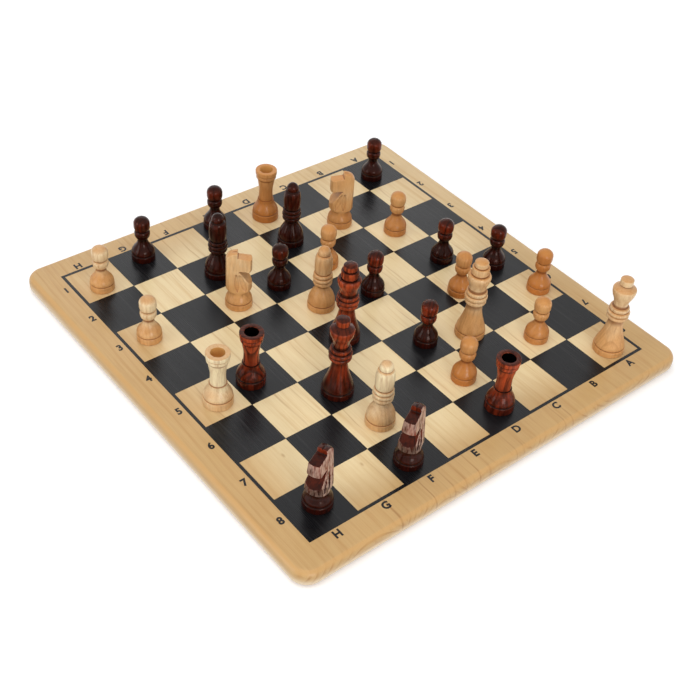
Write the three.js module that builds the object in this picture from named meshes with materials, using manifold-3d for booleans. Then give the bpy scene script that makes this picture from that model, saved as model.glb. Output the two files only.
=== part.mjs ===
// Flat wooden chess board with its thirty-two pieces, set out in the middle of a game.
//
// Millimetres, +Z up. The origin is the middle of the board's underside. The front edge, along
// rank 8, faces -Y. File H lies on the -X side and file A on the +X side.

import * as THREE from 'three';
import { mergeVertices } from 'three/addons/utils/BufferGeometryUtils.js';
import Module from 'manifold-3d';

const wasm = await Module();
wasm.setup();

// Board
const SQUARE = 32;
const SQUARES_A_SIDE = 8;
const BORDER = 18.4;
const BOARD_THICKNESS = 11;
const EDGE_ROUND = 4;
const CORNER_RADIUS = 11;

// Staves glued side by side from the -X edge. The last stave takes the width that is left.
const FIRST_STAVE_WIDTHS = [69, 46, 46, 54];

// Black print: dark squares and a frame line round the field. Ink spreads a little past each
// square's edge, so that dark squares run into each other at their corners.
const PRINT_THICKNESS = 0.05;
const INK_SPREAD = 0.15;
const LINE_WIDTH = 2;

// Turned pieces. Each rises from a plain foot, over a groove and a bell-shaped body, to its neck.
// Every height is the rise of that stretch alone. The bell's pulls say how long it keeps its direction
// above the groove and below the neck, as shares of its rise.
const PAWN = {
  footRadius: 7.6, footHeight: 4, grooveDepth: 0.7, grooveWidth: 1, bellRadius: 7.5, bellRise: 11,
  bellPullLow: 0.4, bellPullHigh: 0.55, neckRadius: 3.05,
  collarRadius: 5, collarRise: 6, collarLowShare: 0.6, headSeatRadius: 3.6,
  headRadius: 5.15, headSwellRise: 3, headBandRise: 2.2, crownRise: 4.2,
};
const ROOK = {
  footRadius: 8.8, footHeight: 4.8, grooveDepth: 0.8, grooveWidth: 1, bellRadius: 8.5, bellRise: 9.2,
  bellPullLow: 0.36, bellPullHigh: 0.42, neckRadius: 5.3,
  ledge: 0.6, shaftRadius: 4.5, shaftRise: 6, flareRadius: 5.6, flareRise: 11,
  bandRadius: 6.6, bandRise: 2, rimGrooveDepth: 0.7, rimGrooveWidth: 0.8, rimRadius: 7.05, rimRise: 2.8,
  wellRadius: 4.2, wellFloorRadius: 3.6, wellDepth: 7,
};
const BISHOP = {
  footRadius: 8.7, footHeight: 3.8, grooveDepth: 0.8, grooveWidth: 1, bellRadius: 8.4, bellRise: 13.2,
  bellPullLow: 0.5, bellPullHigh: 0.33, neckRadius: 3.9,
  lowerRingRadius: 6, lowerRingRise: 3.1, middleRingRadius: 6.25, middleRingRise: 3,
  upperRingRadius: 5.9, upperRingRise: 2.8, ringSeatRadius: 5.1, mitreSeatRadius: 4.7,
  mitreRadius: 5.5, mitreRise: 13.3, mitreTopRadius: 4.1, capGrooveDepth: 0.5, capGrooveWidth: 0.8,
  capRadius: 3.9, capRise: 0.6, crownRise: 4.4,
};
const QUEEN = {
  footRadius: 9.7, footHeight: 3.8, grooveDepth: 0.8, grooveWidth: 1, bellRadius: 9.3, bellRise: 20.6,
  bellPullLow: 0.14, bellPullHigh: 0.5, neckRadius: 4.5,
  lowerRingRadius: 6.7, lowerRingRise: 3.2, middleRingRadius: 6.9, middleRingRise: 3.1,
  upperRingRadius: 6, upperRingRise: 3, ringSeatRadius: 5.4, waistRadius: 4.4, waistRise: 1,
  coronetRadius: 7.1, coronetRise: 11.3, rimRise: 0.8, rimTopRadius: 6.8, dishRise: 2.4,
  knobNeckRadius: 3.1, knobNeckRise: 0.5, knobRadius: 4, knobRise: 3.2, crownRise: 1.2,
};
const KING = {
  footRadius: 9.4, footHeight: 4, grooveDepth: 0.8, grooveWidth: 1, bellRadius: 9, bellRise: 19.8,
  bellPullLow: 0.14, bellPullHigh: 0.5, neckRadius: 4.7,
  lowerRingRadius: 6.6, lowerRingRise: 3.4, middleRingRadius: 7, middleRingRise: 3.4,
  upperRingRadius: 6.4, upperRingRise: 3, ringSeatRadius: 5.7, waistRadius: 5.2, waistRise: 1.2,
  headRadius: 7.1, headRise: 9, brimRise: 1.6, brimTopRadius: 6.4, drumNeckRadius: 4.8, drumNeckRise: 0.8,
  drumRadius: 5.3, drumRise: 4.6, knobNeckRadius: 3.9, knobNeckRise: 0.6, knobRadius: 4.2, knobRise: 2.4,
  crownRise: 1.4,
};
// A knight is turned like the others, then its head is sawn out: two slanting side flats, a forehead
// that slopes from the ear to the nose, and a mouth. Its nose points along +X before it is turned.
const KNIGHT = {
  footRadius: 8.5, footHeight: 4, grooveDepth: 0.7, grooveWidth: 1, bellRadius: 8.2, bellRise: 6.4,
  bellPullLow: 0.36, bellPullHigh: 0.42, neckRadius: 6,
  flareRise: 2.6, bodyRadius: 8, bodyRise: 21.8, crownRise: 4.7,
  earHalfWidth: 2.8, earLength: 7.2, earRise: 3.5, foreheadDrop: 1,
  mouthDepth: 8, mouthDrop: 9.2, lipDrop: 0.4, chestDrop: 10,
  partingHalfWidth: 0.7, partingDepth: 1, hollowDepth: 1.1,
};

// Leaf-shaped hollows in each side flat of a knight: their middle along the nose and below the mouth's corner.
const KNIGHT_HOLLOWS = [
  { along: -1, drop: 8.2, halfLength: 6.4, halfWidth: 1.5, leanDegrees: 3 },
  { along: 2.5, drop: 8, halfLength: 6.2, halfWidth: 1.7, leanDegrees: 20 },
];

// How long any other sweep keeps its direction at each end.
const SWEEP_PULL = 0.45;

// Facets
const PAWN_SIDES = 12;
const PIECE_SIDES = 16;
const SWEEP_STEPS = 3;
const ROUND_STEPS = 2;
const CORNER_STEPS = 5;
const EDGE_STEPS = 3;
const HOLLOW_SIDES = 10;
const HOLLOW_STEPS = 8;

// How far a cutter runs past the solid that it cuts.
const OVERCUT = 5;

// Finishes
const PINE = { color: 0xe3c796, roughness: 0.5 };
const INK = { color: 0x1c1c1f, roughness: 0.35 };
const LIGHT_WOOD = { color: 0xdcb27a, roughness: 0.45 };
const DARK_WOOD = { color: 0x46190f, roughness: 0.25 };

const FIELD = SQUARE * SQUARES_A_SIDE;
const BOARD_SIDE = FIELD + 2 * BORDER;
const STANDING_HEIGHT = BOARD_THICKNESS + PRINT_THICKNESS;

// Where the pieces stand: square, then how far off its middle along X and Y, then the turn in degrees.
const PLACES = {
  light_pawn: [
    ['H1', -0.5, -6.2], ['H3', -1.4, 0.9], ['B3', -0.3, 1.6], ['D3', 2, -2.1],
    ['B5', -8.2, -7.5], ['A6', 5.2, -2.2], ['B7', 1.2, -3.4], ['D7', 2.8, -4.5],
  ],
  dark_pawn: [
    ['A1', -3.5, -2.6], ['G1', 4.2, 5.7], ['E1', -2.5, 9.2], ['E3', -3.7, -1.3],
    ['D4', 9.7, -7.8], ['B4', 6, -7], ['A5', -1.5, 1], ['D6', 5.8, 1],
  ],
  light_rook: [['D1', 0.1, -0.3], ['H5', 1.9, -2.8]],
  dark_rook: [['G5', -5.2, 0.6], ['D8', 4.1, -1.4]],
  light_knight: [['C2', 5.9, -2.2, 152], ['F3', -3.5, -2.5, -38]],
  dark_knight: [['F8', -3.2, -3.4, -154], ['H8', 2.2, 1.5, -157]],
  light_bishop: [['E4', 5.7, -0.8], ['F7', 3.2, -3.7]],
  dark_bishop: [['F2', 2.9, -2.1], ['D2', -2.1, -0.3]],
  light_queen: [['A8', -0.5, -4]],
  dark_queen: [['F6', -1.1, -2.4]],
  light_king: [['C6', 1.9, -8.7]],
  dark_king: [['E5', -0.5, -0.2]],
};
const FILES_FROM_LEFT = 'HGFEDCBA';

// Half outline of a turned piece, drawn upwards from the middle of its foot.
class Outline {
  constructor() {
    this.points = [new THREE.Vector2(0, 0)];
  }

  get end() {
    return this.points[this.points.length - 1];
  }

  follow(curve, steps) {
    this.points.push(...curve.getPoints(steps).slice(1));
    return this;
  }

  lineTo(radius, rise) {
    this.points.push(new THREE.Vector2(radius, this.end.y + rise));
    return this;
  }

  // A smooth curve that leaves and arrives upright.
  sweepTo(radius, rise, pullLow = SWEEP_PULL, pullHigh = SWEEP_PULL) {
    const { x, y } = this.end;
    const top = y + rise;
    const curve = new THREE.CubicBezierCurve(
      this.end,
      new THREE.Vector2(x, y + pullLow * rise),
      new THREE.Vector2(radius, top - pullHigh * rise),
      new THREE.Vector2(radius, top),
    );
    return this.follow(curve, SWEEP_STEPS);
  }

  // A quarter round that leaves level and arrives upright at radius.
  swell(radius, rise) {
    const { x, y } = this.end;
    return this.follow(new THREE.EllipseCurve(x, y + rise, radius - x, rise, -Math.PI / 2, 0), ROUND_STEPS);
  }

  // A quarter round that leaves upright and arrives level at radius.
  shoulder(radius, rise) {
    const { x, y } = this.end;
    return this.follow(new THREE.EllipseCurve(radius, y, x - radius, rise, 0, Math.PI / 2), ROUND_STEPS);
  }

  // A round bulge out to radius, ending at endRadius, with a share of its rise below its widest point.
  bead(radius, rise, endRadius, lowShare = 0.5) {
    return this.swell(radius, rise * lowShare).shoulder(endRadius, rise * (1 - lowShare));
  }

  // A narrow V cut, ending at endRadius.
  groove(depth, width, endRadius) {
    return this.lineTo(this.end.x - depth, width / 2).lineTo(endRadius, width / 2);
  }

  // A rounded top that closes on the axis.
  dome(rise) {
    return this.shoulder(0, rise).close();
  }

  // A flat end on the axis.
  close() {
    this.end.x < 1e-6 ? this.end.setX(0) : this.lineTo(0, 0);
    return this;
  }

  turn(sides) {
    return new THREE.LatheGeometry(this.points, sides).rotateX(Math.PI / 2);
  }
}

// Foot, groove and bell that every piece begins with.
function standOn(size) {
  return new Outline()
    .lineTo(size.footRadius, 0)
    .lineTo(size.footRadius, size.footHeight)
    .groove(size.grooveDepth, size.grooveWidth, size.bellRadius)
    .sweepTo(size.neckRadius, size.bellRise, size.bellPullLow, size.bellPullHigh);
}

function pawn() {
  return standOn(PAWN)
    .bead(PAWN.collarRadius, PAWN.collarRise, PAWN.headSeatRadius, PAWN.collarLowShare)
    .swell(PAWN.headRadius, PAWN.headSwellRise)
    .lineTo(PAWN.headRadius, PAWN.headBandRise)
    .dome(PAWN.crownRise)
    .turn(PAWN_SIDES);
}

function rook() {
  return standOn(ROOK)
    .lineTo(ROOK.neckRadius - ROOK.ledge, 0)
    .sweepTo(ROOK.shaftRadius, ROOK.shaftRise)
    .sweepTo(ROOK.flareRadius, ROOK.flareRise)
    .lineTo(ROOK.bandRadius, 0)
    .lineTo(ROOK.bandRadius, ROOK.bandRise)
    .groove(ROOK.rimGrooveDepth, ROOK.rimGrooveWidth, ROOK.rimRadius)
    .lineTo(ROOK.rimRadius, ROOK.rimRise)
    .lineTo(ROOK.wellRadius, 0)
    .lineTo(ROOK.wellFloorRadius, -ROOK.wellDepth)
    .close()
    .turn(PIECE_SIDES);
}

function bishop() {
  return standOn(BISHOP)
    .bead(BISHOP.lowerRingRadius, BISHOP.lowerRingRise, BISHOP.ringSeatRadius)
    .bead(BISHOP.middleRingRadius, BISHOP.middleRingRise, BISHOP.ringSeatRadius)
    .bead(BISHOP.upperRingRadius, BISHOP.upperRingRise, BISHOP.mitreSeatRadius)
    .bead(BISHOP.mitreRadius, BISHOP.mitreRise, BISHOP.mitreTopRadius)
    .groove(BISHOP.capGrooveDepth, BISHOP.capGrooveWidth, BISHOP.capRadius)
    .lineTo(BISHOP.capRadius, BISHOP.capRise)
    .dome(BISHOP.crownRise)
    .turn(PIECE_SIDES);
}

function queen() {
  return standOn(QUEEN)
    .bead(QUEEN.lowerRingRadius, QUEEN.lowerRingRise, QUEEN.ringSeatRadius)
    .bead(QUEEN.middleRingRadius, QUEEN.middleRingRise, QUEEN.ringSeatRadius)
    .bead(QUEEN.upperRingRadius, QUEEN.upperRingRise, QUEEN.waistRadius)
    .lineTo(QUEEN.waistRadius, QUEEN.waistRise)
    .sweepTo(QUEEN.coronetRadius, QUEEN.coronetRise)
    .lineTo(QUEEN.rimTopRadius, QUEEN.rimRise)
    .lineTo(QUEEN.knobNeckRadius, QUEEN.dishRise)
    .lineTo(QUEEN.knobNeckRadius, QUEEN.knobNeckRise)
    .lineTo(QUEEN.knobRadius, 0)
    .lineTo(QUEEN.knobRadius, QUEEN.knobRise)
    .dome(QUEEN.crownRise)
    .turn(PIECE_SIDES);
}

function king() {
  return standOn(KING)
    .bead(KING.lowerRingRadius, KING.lowerRingRise, KING.ringSeatRadius)
    .bead(KING.middleRingRadius, KING.middleRingRise, KING.ringSeatRadius)
    .bead(KING.upperRingRadius, KING.upperRingRise, KING.waistRadius)
    .lineTo(KING.waistRadius, KING.waistRise)
    .sweepTo(KING.headRadius, KING.headRise)
    .lineTo(KING.brimTopRadius, KING.brimRise)
    .lineTo(KING.drumNeckRadius, 0)
    .lineTo(KING.drumNeckRadius, KING.drumNeckRise)
    .lineTo(KING.drumRadius, 0)
    .lineTo(KING.drumRadius, KING.drumRise)
    .lineTo(KING.knobNeckRadius, 0)
    .lineTo(KING.knobNeckRadius, KING.knobNeckRise)
    .lineTo(KING.knobRadius, 0)
    .lineTo(KING.knobRadius, KING.knobRise)
    .dome(KING.crownRise)
    .turn(PIECE_SIDES);
}

function knight() {
  const outline = standOn(KNIGHT);
  const waist = outline.end.y;
  outline
    .sweepTo(KNIGHT.bodyRadius, KNIGHT.flareRise)
    .lineTo(KNIGHT.bodyRadius, KNIGHT.bodyRise)
    .dome(KNIGHT.crownRise);
  const top = outline.end.y;
  const reach = KNIGHT.bodyRadius + OVERCUT;
  const above = top + OVERCUT;

  // Side flats lean in from the neck to the ear.
  const lean = (KNIGHT.neckRadius - KNIGHT.earHalfWidth) / (top - waist);
  const flat = block([
    [KNIGHT.neckRadius, waist],
    [reach, waist],
    [reach, above],
    [KNIGHT.earHalfWidth - lean * OVERCUT, above],
  ], 2 * reach).applyMatrix4(ACROSS_Y);
  const otherFlat = flat.clone().rotateZ(Math.PI);

  // Forehead, from the foot of the ear down to the nose and on past it.
  const earFront = KNIGHT.earLength - KNIGHT.bodyRadius;
  const earFoot = top - KNIGHT.earRise;
  const slope = KNIGHT.foreheadDrop / (KNIGHT.bodyRadius - earFront);
  const forehead = block([
    [earFront, above],
    [earFront, earFoot],
    [reach, earFoot - slope * (reach - earFront)],
    [reach, above],
  ], 2 * reach).applyMatrix4(ACROSS_X);

  // Mouth, a wedge from the front of the body in to its corner.
  const corner = KNIGHT.bodyRadius - KNIGHT.mouthDepth;
  const cornerHeight = earFoot - KNIGHT.mouthDrop;
  const stretch = (reach - corner) / KNIGHT.mouthDepth;
  const mouth = block([
    [corner, cornerHeight],
    [reach, cornerHeight - stretch * KNIGHT.chestDrop],
    [reach, cornerHeight - stretch * KNIGHT.lipDrop],
  ], 2 * reach).applyMatrix4(ACROSS_X);

  // Parting between the ears, a notch along the crown.
  const spread = KNIGHT.partingHalfWidth * (1 + OVERCUT / KNIGHT.partingDepth);
  const parting = block([
    [0, top - KNIGHT.partingDepth],
    [spread, above],
    [-spread, above],
  ], 2 * reach).applyMatrix4(ACROSS_Y);

  const hollows = KNIGHT_HOLLOWS.flatMap((size) => {
    const height = cornerHeight - size.drop;
    const leaf = hollow(size, KNIGHT.hollowDepth).rotateX(Math.atan(lean))
      .translate(size.along, KNIGHT.neckRadius - lean * (height - waist), height);
    const otherLeaf = hollow(size, KNIGHT.hollowDepth).rotateX(-Math.atan(lean))
      .translate(size.along, lean * (height - waist) - KNIGHT.neckRadius, height);
    return [leaf, otherLeaf];
  });

  return cut(outline.turn(PIECE_SIDES), [flat, otherFlat, forehead, mouth, parting, ...hollows]);
}

// Long ball that scoops one leaf-shaped hollow, upright, with its foot leaning towards +X.
function hollow(size, depth) {
  return new THREE.SphereGeometry(1, HOLLOW_SIDES, HOLLOW_STEPS)
    .scale(size.halfWidth, size.halfLength, depth)
    .rotateZ(THREE.MathUtils.degToRad(size.leanDegrees))
    .applyMatrix4(ACROSS_X);
}

// Prism of a drawn outline, with its depth centred on the outline's plane.
function block(corners, depth) {
  const shape = new THREE.Shape(corners.map(([x, y]) => new THREE.Vector2(x, y)));
  return new THREE.ExtrudeGeometry(shape, { depth, bevelEnabled: false }).translate(0, 0, -depth / 2);
}

// A prism's drawing plane stood upright, facing along Y or along X.
const ACROSS_X = new THREE.Matrix4().makeRotationX(Math.PI / 2);
const ACROSS_Y = new THREE.Matrix4().makeBasis(
  new THREE.Vector3(0, 1, 0),
  new THREE.Vector3(0, 0, 1),
  new THREE.Vector3(1, 0, 0),
);

// Closed geometry as a solid that can be cut.
function solid(geometry) {
  const bare = geometry.clone();
  bare.deleteAttribute('normal');
  bare.deleteAttribute('uv');
  const merged = mergeVertices(bare, 1e-5);
  const corners = [];
  for (let i = 0; i < merged.index.count; i += 3) {
    const face = [merged.index.getX(i), merged.index.getX(i + 1), merged.index.getX(i + 2)];
    if (new Set(face).size === 3) corners.push(...face);
  }
  return new wasm.Manifold(new wasm.Mesh({
    numProp: 3,
    vertProperties: new Float32Array(merged.attributes.position.array),
    triVerts: new Uint32Array(corners),
  }));
}

function geometryOf(manifold) {
  const mesh = manifold.getMesh();
  const geometry = new THREE.BufferGeometry();
  geometry.setAttribute('position', new THREE.BufferAttribute(mesh.vertProperties, 3));
  geometry.setIndex(new THREE.BufferAttribute(mesh.triVerts, 1));
  geometry.computeVertexNormals();
  return geometry;
}

function cut(geometry, cutters) {
  const left = cutters.reduce((body, cutter) => body.subtract(solid(cutter)), solid(geometry));
  return geometryOf(left);
}

// Board panel with round corners in plan and rounded edges, before it is divided into its staves.
function panel() {
  const half = BOARD_SIDE / 2;
  const inner = half - CORNER_RADIUS;
  const outline = new THREE.Shape();
  outline.absarc(inner, inner, CORNER_RADIUS, 0, Math.PI / 2);
  outline.absarc(-inner, inner, CORNER_RADIUS, Math.PI / 2, Math.PI);
  outline.absarc(-inner, -inner, CORNER_RADIUS, Math.PI, 1.5 * Math.PI);
  outline.absarc(inner, -inner, CORNER_RADIUS, 1.5 * Math.PI, 2 * Math.PI);
  return new THREE.ExtrudeGeometry(outline, {
    depth: BOARD_THICKNESS - 2 * EDGE_ROUND,
    curveSegments: CORNER_STEPS,
    bevelThickness: EDGE_ROUND,
    bevelSize: EDGE_ROUND,
    bevelOffset: -EDGE_ROUND,
    bevelSegments: EDGE_STEPS,
  }).translate(0, 0, EDGE_ROUND);
}

function staves() {
  const joints = [-BOARD_SIDE / 2];
  FIRST_STAVE_WIDTHS.forEach((width) => joints.push(joints[joints.length - 1] + width));
  joints.push(BOARD_SIDE / 2);
  const whole = solid(panel());
  const length = BOARD_SIDE + 2 * OVERCUT;
  const height = BOARD_THICKNESS + 2 * OVERCUT;
  return joints.slice(1).map((right, i) => {
    const left = i === 0 ? joints[0] - OVERCUT : joints[i];
    const past = i === joints.length - 2 ? right + OVERCUT : right;
    const slice = new THREE.BoxGeometry(past - left, length, height)
      .translate((left + past) / 2, 0, BOARD_THICKNESS / 2);
    return geometryOf(whole.intersect(solid(slice)));
  });
}

// Printed sheet of ink with a window for each light square.
function print() {
  const outer = (FIELD + LINE_WIDTH) / 2;
  const inner = (FIELD - LINE_WIDTH) / 2;
  const low = (count) => Math.max(count * SQUARE - FIELD / 2 + INK_SPREAD, -inner);
  const high = (count) => Math.min((count + 1) * SQUARE - FIELD / 2 - INK_SPREAD, inner);
  const windows = [];
  for (let column = 0; column < SQUARES_A_SIDE; column++) {
    for (let row = 0; row < SQUARES_A_SIDE; row++) {
      if ((column + row) % 2 === 0) continue;
      windows.push(plate(low(column), low(row), high(column), high(row), 2 * OVERCUT));
    }
  }
  return cut(plate(-outer, -outer, outer, outer, PRINT_THICKNESS), windows);
}

// Flat plate between two corners, with its thickness centred on the plane of its corners.
function plate(left, front, right, back, thickness) {
  return new THREE.BoxGeometry(right - left, back - front, thickness)
    .translate((left + right) / 2, (front + back) / 2, 0);
}

function squareCentre(name) {
  const middle = (SQUARES_A_SIDE - 1) / 2;
  const column = FILES_FROM_LEFT.indexOf(name[0]);
  const rank = Number(name[1]);
  return new THREE.Vector2((column - middle) * SQUARE, (middle + 1 - rank) * SQUARE);
}

function addMesh(group, name, geometry, finish) {
  const mesh = new THREE.Mesh(geometry, new THREE.MeshStandardMaterial({ ...finish, metalness: 0 }));
  mesh.name = name;
  group.add(mesh);
  return mesh;
}

function board() {
  const group = new THREE.Group();
  staves().forEach((geometry, i) => addMesh(group, `stave_${i + 1}`, geometry, PINE));
  addMesh(group, 'black_print', print(), INK).position.z = BOARD_THICKNESS + PRINT_THICKNESS / 2;
  return group;
}

function pieces() {
  const group = new THREE.Group();
  group.position.z = STANDING_HEIGHT;
  const shapes = {
    pawn: pawn(), rook: rook(), knight: knight(), bishop: bishop(), queen: queen(), king: king(),
  };
  for (const [title, places] of Object.entries(PLACES)) {
    const [tone, kind] = title.split('_');
    const finish = tone === 'light' ? LIGHT_WOOD : DARK_WOOD;
    places.forEach(([square, offX, offY, turn = 0], i) => {
      const name = places.length > 1 ? `${title}_${i + 1}` : title;
      const mesh = addMesh(group, name, shapes[kind], finish);
      const centre = squareCentre(square);
      mesh.position.set(centre.x + offX, centre.y + offY, 0);
      mesh.rotation.z = THREE.MathUtils.degToRad(turn);
    });
  }
  return group;
}

const chessBoard = new THREE.Group();
chessBoard.add(board(), pieces());

export default chessBoard;
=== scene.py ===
"""Looks of a wooden chess set: a printed pine board with its turned pieces, set out in mid-game.

Shapes are drawn in millimetres and turned into metres when a mesh is made. Finishes and the studio are in
metres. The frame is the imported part's own: origin in the middle of the board's underside, +Z up, -Y the
front edge.
"""

import logging
import math
from collections.abc import Iterable
from dataclasses import dataclass
from enum import Enum
from functools import partial, reduce

import bmesh
import bpy
from mathutils import Matrix, Vector

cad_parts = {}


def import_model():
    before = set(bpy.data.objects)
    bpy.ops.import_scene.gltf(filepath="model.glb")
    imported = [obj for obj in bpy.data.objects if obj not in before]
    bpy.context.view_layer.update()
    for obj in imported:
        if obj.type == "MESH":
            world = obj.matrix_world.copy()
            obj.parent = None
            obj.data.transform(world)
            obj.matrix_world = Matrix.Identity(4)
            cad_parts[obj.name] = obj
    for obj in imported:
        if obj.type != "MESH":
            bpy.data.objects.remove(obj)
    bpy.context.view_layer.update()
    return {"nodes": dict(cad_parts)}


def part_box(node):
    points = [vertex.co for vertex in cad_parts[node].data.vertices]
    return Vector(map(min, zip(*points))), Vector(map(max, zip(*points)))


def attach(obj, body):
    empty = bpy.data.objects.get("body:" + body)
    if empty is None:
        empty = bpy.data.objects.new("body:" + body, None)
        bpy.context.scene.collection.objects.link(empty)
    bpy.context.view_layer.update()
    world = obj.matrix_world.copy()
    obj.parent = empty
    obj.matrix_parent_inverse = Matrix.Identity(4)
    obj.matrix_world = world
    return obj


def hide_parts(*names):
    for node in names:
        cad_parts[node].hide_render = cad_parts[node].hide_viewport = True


LOG = logging.getLogger("chess_set")

Socket = bpy.types.NodeSocket
Colour = tuple[float, float, float, float]
Triple = tuple[float, float, float]
Feed = Socket | Colour | Triple | float

MM = 0.001
SQUARE = 32.0
SQUARES = 8
FIELD = SQUARE * SQUARES
BORDER = 18.4
BOARD_SIDE = FIELD + 2 * BORDER
BOARD_THICKNESS = 11.0
PRINT_THICKNESS = 0.05
FILES_FROM_LEFT = "HGFEDCBA"
BOARD_BODY = "board"
LEVEL_GAP = 1e-4
LEAST_REACH = 0.3
GROOVE_SPREAD = 0.7
EVEN: Triple = (1.0, 1.0, 1.0)
WHITE: Colour = (1.0, 1.0, 1.0, 1.0)
TO_METRES = Matrix.Scale(MM, 4)
ONTO_FACE = TO_METRES @ Matrix.Translation((0.0, 0.0, BOARD_THICKNESS))


class Tone(Enum):
    """The two sides' woods."""

    LIGHT = "light"
    DARK = "dark"


class Slot(Enum):
    """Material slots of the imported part."""

    PINE = "board_pine"
    INK = "black_print"
    LIGHT_WOOD = "light_wood"
    DARK_WOOD = "dark_wood"


def linear(value: int) -> float:
    """Gives one part of a screen colour as the linear value that a shader takes.

    Args:
        value: The part, from 0 to 255.

    Returns:
        The linear value, from 0 to 1.
    """
    share = value / 255
    return share / 12.92 if share <= 0.04045 else ((share + 0.055) / 1.055) ** 2.4


def srgb(red: int, green: int, blue: int) -> Colour:
    """Gives a screen colour as a linear colour.

    Args:
        red: Red from 0 to 255.
        green: Green from 0 to 255.
        blue: Blue from 0 to 255.

    Returns:
        The linear colour with full alpha.
    """
    return linear(red), linear(green), linear(blue), 1.0


@dataclass(frozen=True)
class Ramp:
    """A smooth change between two levels as a value passes two marks, held at both ends."""

    low: float
    high: float
    start: float = 0.0
    end: float = 1.0


@dataclass(frozen=True)
class Grain:
    """Soft noise, which may be drawn out along the wood."""

    scale: float
    detail: float = 2.0
    roughness: float = 0.5
    stretch: Triple = EVEN


class Graph:
    """A material's node tree, built one call at a time."""

    def __init__(self, name: str) -> None:
        """Starts an empty material.

        Args:
            name: The material's name.
        """
        self.material = bpy.data.materials.new(name)
        self.material.use_nodes = True
        self.tree = self.material.node_tree
        self.tree.nodes.clear()
        self.shader = self.node("BsdfPrincipled")
        self.tree.links.new(self.shader.outputs["BSDF"], self.node("OutputMaterial").inputs["Surface"])

    def node(self, kind: str, **settings: str | bool) -> bpy.types.Node:
        """Adds a node.

        Args:
            kind: Its type, without the first part that all of them share.
            **settings: Its properties.

        Returns:
            The node.
        """
        node = self.tree.nodes.new(f"ShaderNode{kind}")
        for name, value in settings.items():
            setattr(node, name, value)
        return node

    def feed(self, sockets: Iterable[Socket], *values: Feed) -> None:
        """Sets or links sockets in turn.

        Args:
            sockets: The sockets.
            *values: A number, a vector, a colour or another node's output for each.
        """
        for socket, value in zip(sockets, values):
            if isinstance(value, Socket):
                self.tree.links.new(value, socket)
            else:
                socket.default_value = value

    def set(self, socket: str, value: Feed) -> None:
        """Sets or links one of the main shader's sockets.

        Args:
            socket: The socket's name.
            value: A number, a colour or another node's output.
        """
        self.feed([self.shader.inputs[socket]], value)

    def place(self) -> Socket:
        """Gives the point's place in the object's own coordinates.

        Returns:
            A vector output in metres.
        """
        return self.node("TexCoord").outputs["Object"]

    def normal(self) -> Socket:
        """Gives the surface's direction in the object's own coordinates.

        Returns:
            A vector output.
        """
        return self.node("TexCoord").outputs["Normal"]

    def attribute(self, name: str, output: str = "Fac") -> Socket:
        """Reads a value that the mesh carries.

        Args:
            name: The attribute's name.
            output: Which of the node's outputs to give.

        Returns:
            The chosen output.
        """
        return self.node("Attribute", attribute_name=name).outputs[output]

    def math(self, operation: str, *values: Feed) -> Socket:
        """Works out one sum.

        Args:
            operation: The Math node's operation.
            *values: Its numbers or outputs.

        Returns:
            The result.
        """
        node = self.node("Math", operation=operation)
        self.feed(node.inputs, *values)
        return node.outputs[0]

    def times(self, *values: Feed) -> Socket:
        """Multiplies.

        Args:
            *values: Numbers or outputs.

        Returns:
            Their product.
        """
        return reduce(partial(self.math, "MULTIPLY"), values)

    def plus(self, *values: Feed) -> Socket:
        """Adds up.

        Args:
            *values: Numbers or outputs.

        Returns:
            Their sum.
        """
        return reduce(partial(self.math, "ADD"), values)

    def minus(self, first: Feed, second: Feed) -> Socket:
        """Takes one value from another.

        Args:
            first: The value that loses.
            second: What it loses.

        Returns:
            What is left.
        """
        return self.math("SUBTRACT", first, second)

    def swing(self, noise: Socket, reach: float) -> Socket:
        """Turns noise into a swing to both sides of nought.

        Args:
            noise: Noise from 0 to 1.
            reach: The whole swing.

        Returns:
            The swing.
        """
        return self.times(self.minus(noise, 0.5), reach)

    def vector(self, operation: str, *values: Feed) -> Socket:
        """Works out one sum on vectors.

        Args:
            operation: The Vector Math node's operation.
            *values: Vectors or outputs.

        Returns:
            The vector result, or the number for a length.
        """
        node = self.node("VectorMath", operation=operation)
        self.feed(node.inputs, *values)
        return node.outputs["Value" if operation == "LENGTH" else "Vector"]

    def split(self, vector: Socket) -> tuple[Socket, ...]:
        """Takes a vector apart.

        Args:
            vector: The vector output.

        Returns:
            Its X, Y and Z.
        """
        node = self.node("SeparateXYZ")
        self.feed(node.inputs, vector)
        return tuple(node.outputs)

    def join(self, x: Feed, y: Feed, z: Feed) -> Socket:
        """Puts a vector together.

        Args:
            x: X value or output.
            y: Y value or output.
            z: Z value or output.

        Returns:
            The vector.
        """
        node = self.node("CombineXYZ")
        self.feed(node.inputs, x, y, z)
        return node.outputs[0]

    def noise(self, place: Socket, grain: Grain) -> Socket:
        """Gives soft noise from 0 to 1.

        Args:
            place: Where it is looked up.
            grain: What kind of noise.

        Returns:
            The noise value.
        """
        if grain.stretch != EVEN:
            place = self.vector("MULTIPLY", place, grain.stretch)
        node = self.node("TexNoise")
        sockets = [node.inputs[name] for name in ("Vector", "Scale", "Detail", "Roughness")]
        self.feed(sockets, place, grain.scale, grain.detail, grain.roughness)
        return node.outputs["Fac"]

    def fade(self, value: Socket, ramp: Ramp) -> Socket:
        """Maps a value smoothly.

        Args:
            value: The value to map.
            ramp: How it is mapped.

        Returns:
            The mapped value.
        """
        node = self.node("MapRange", interpolation_type="SMOOTHSTEP")
        self.feed(node.inputs, value, ramp.low, ramp.high, ramp.start, ramp.end)
        return node.outputs[0]

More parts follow.
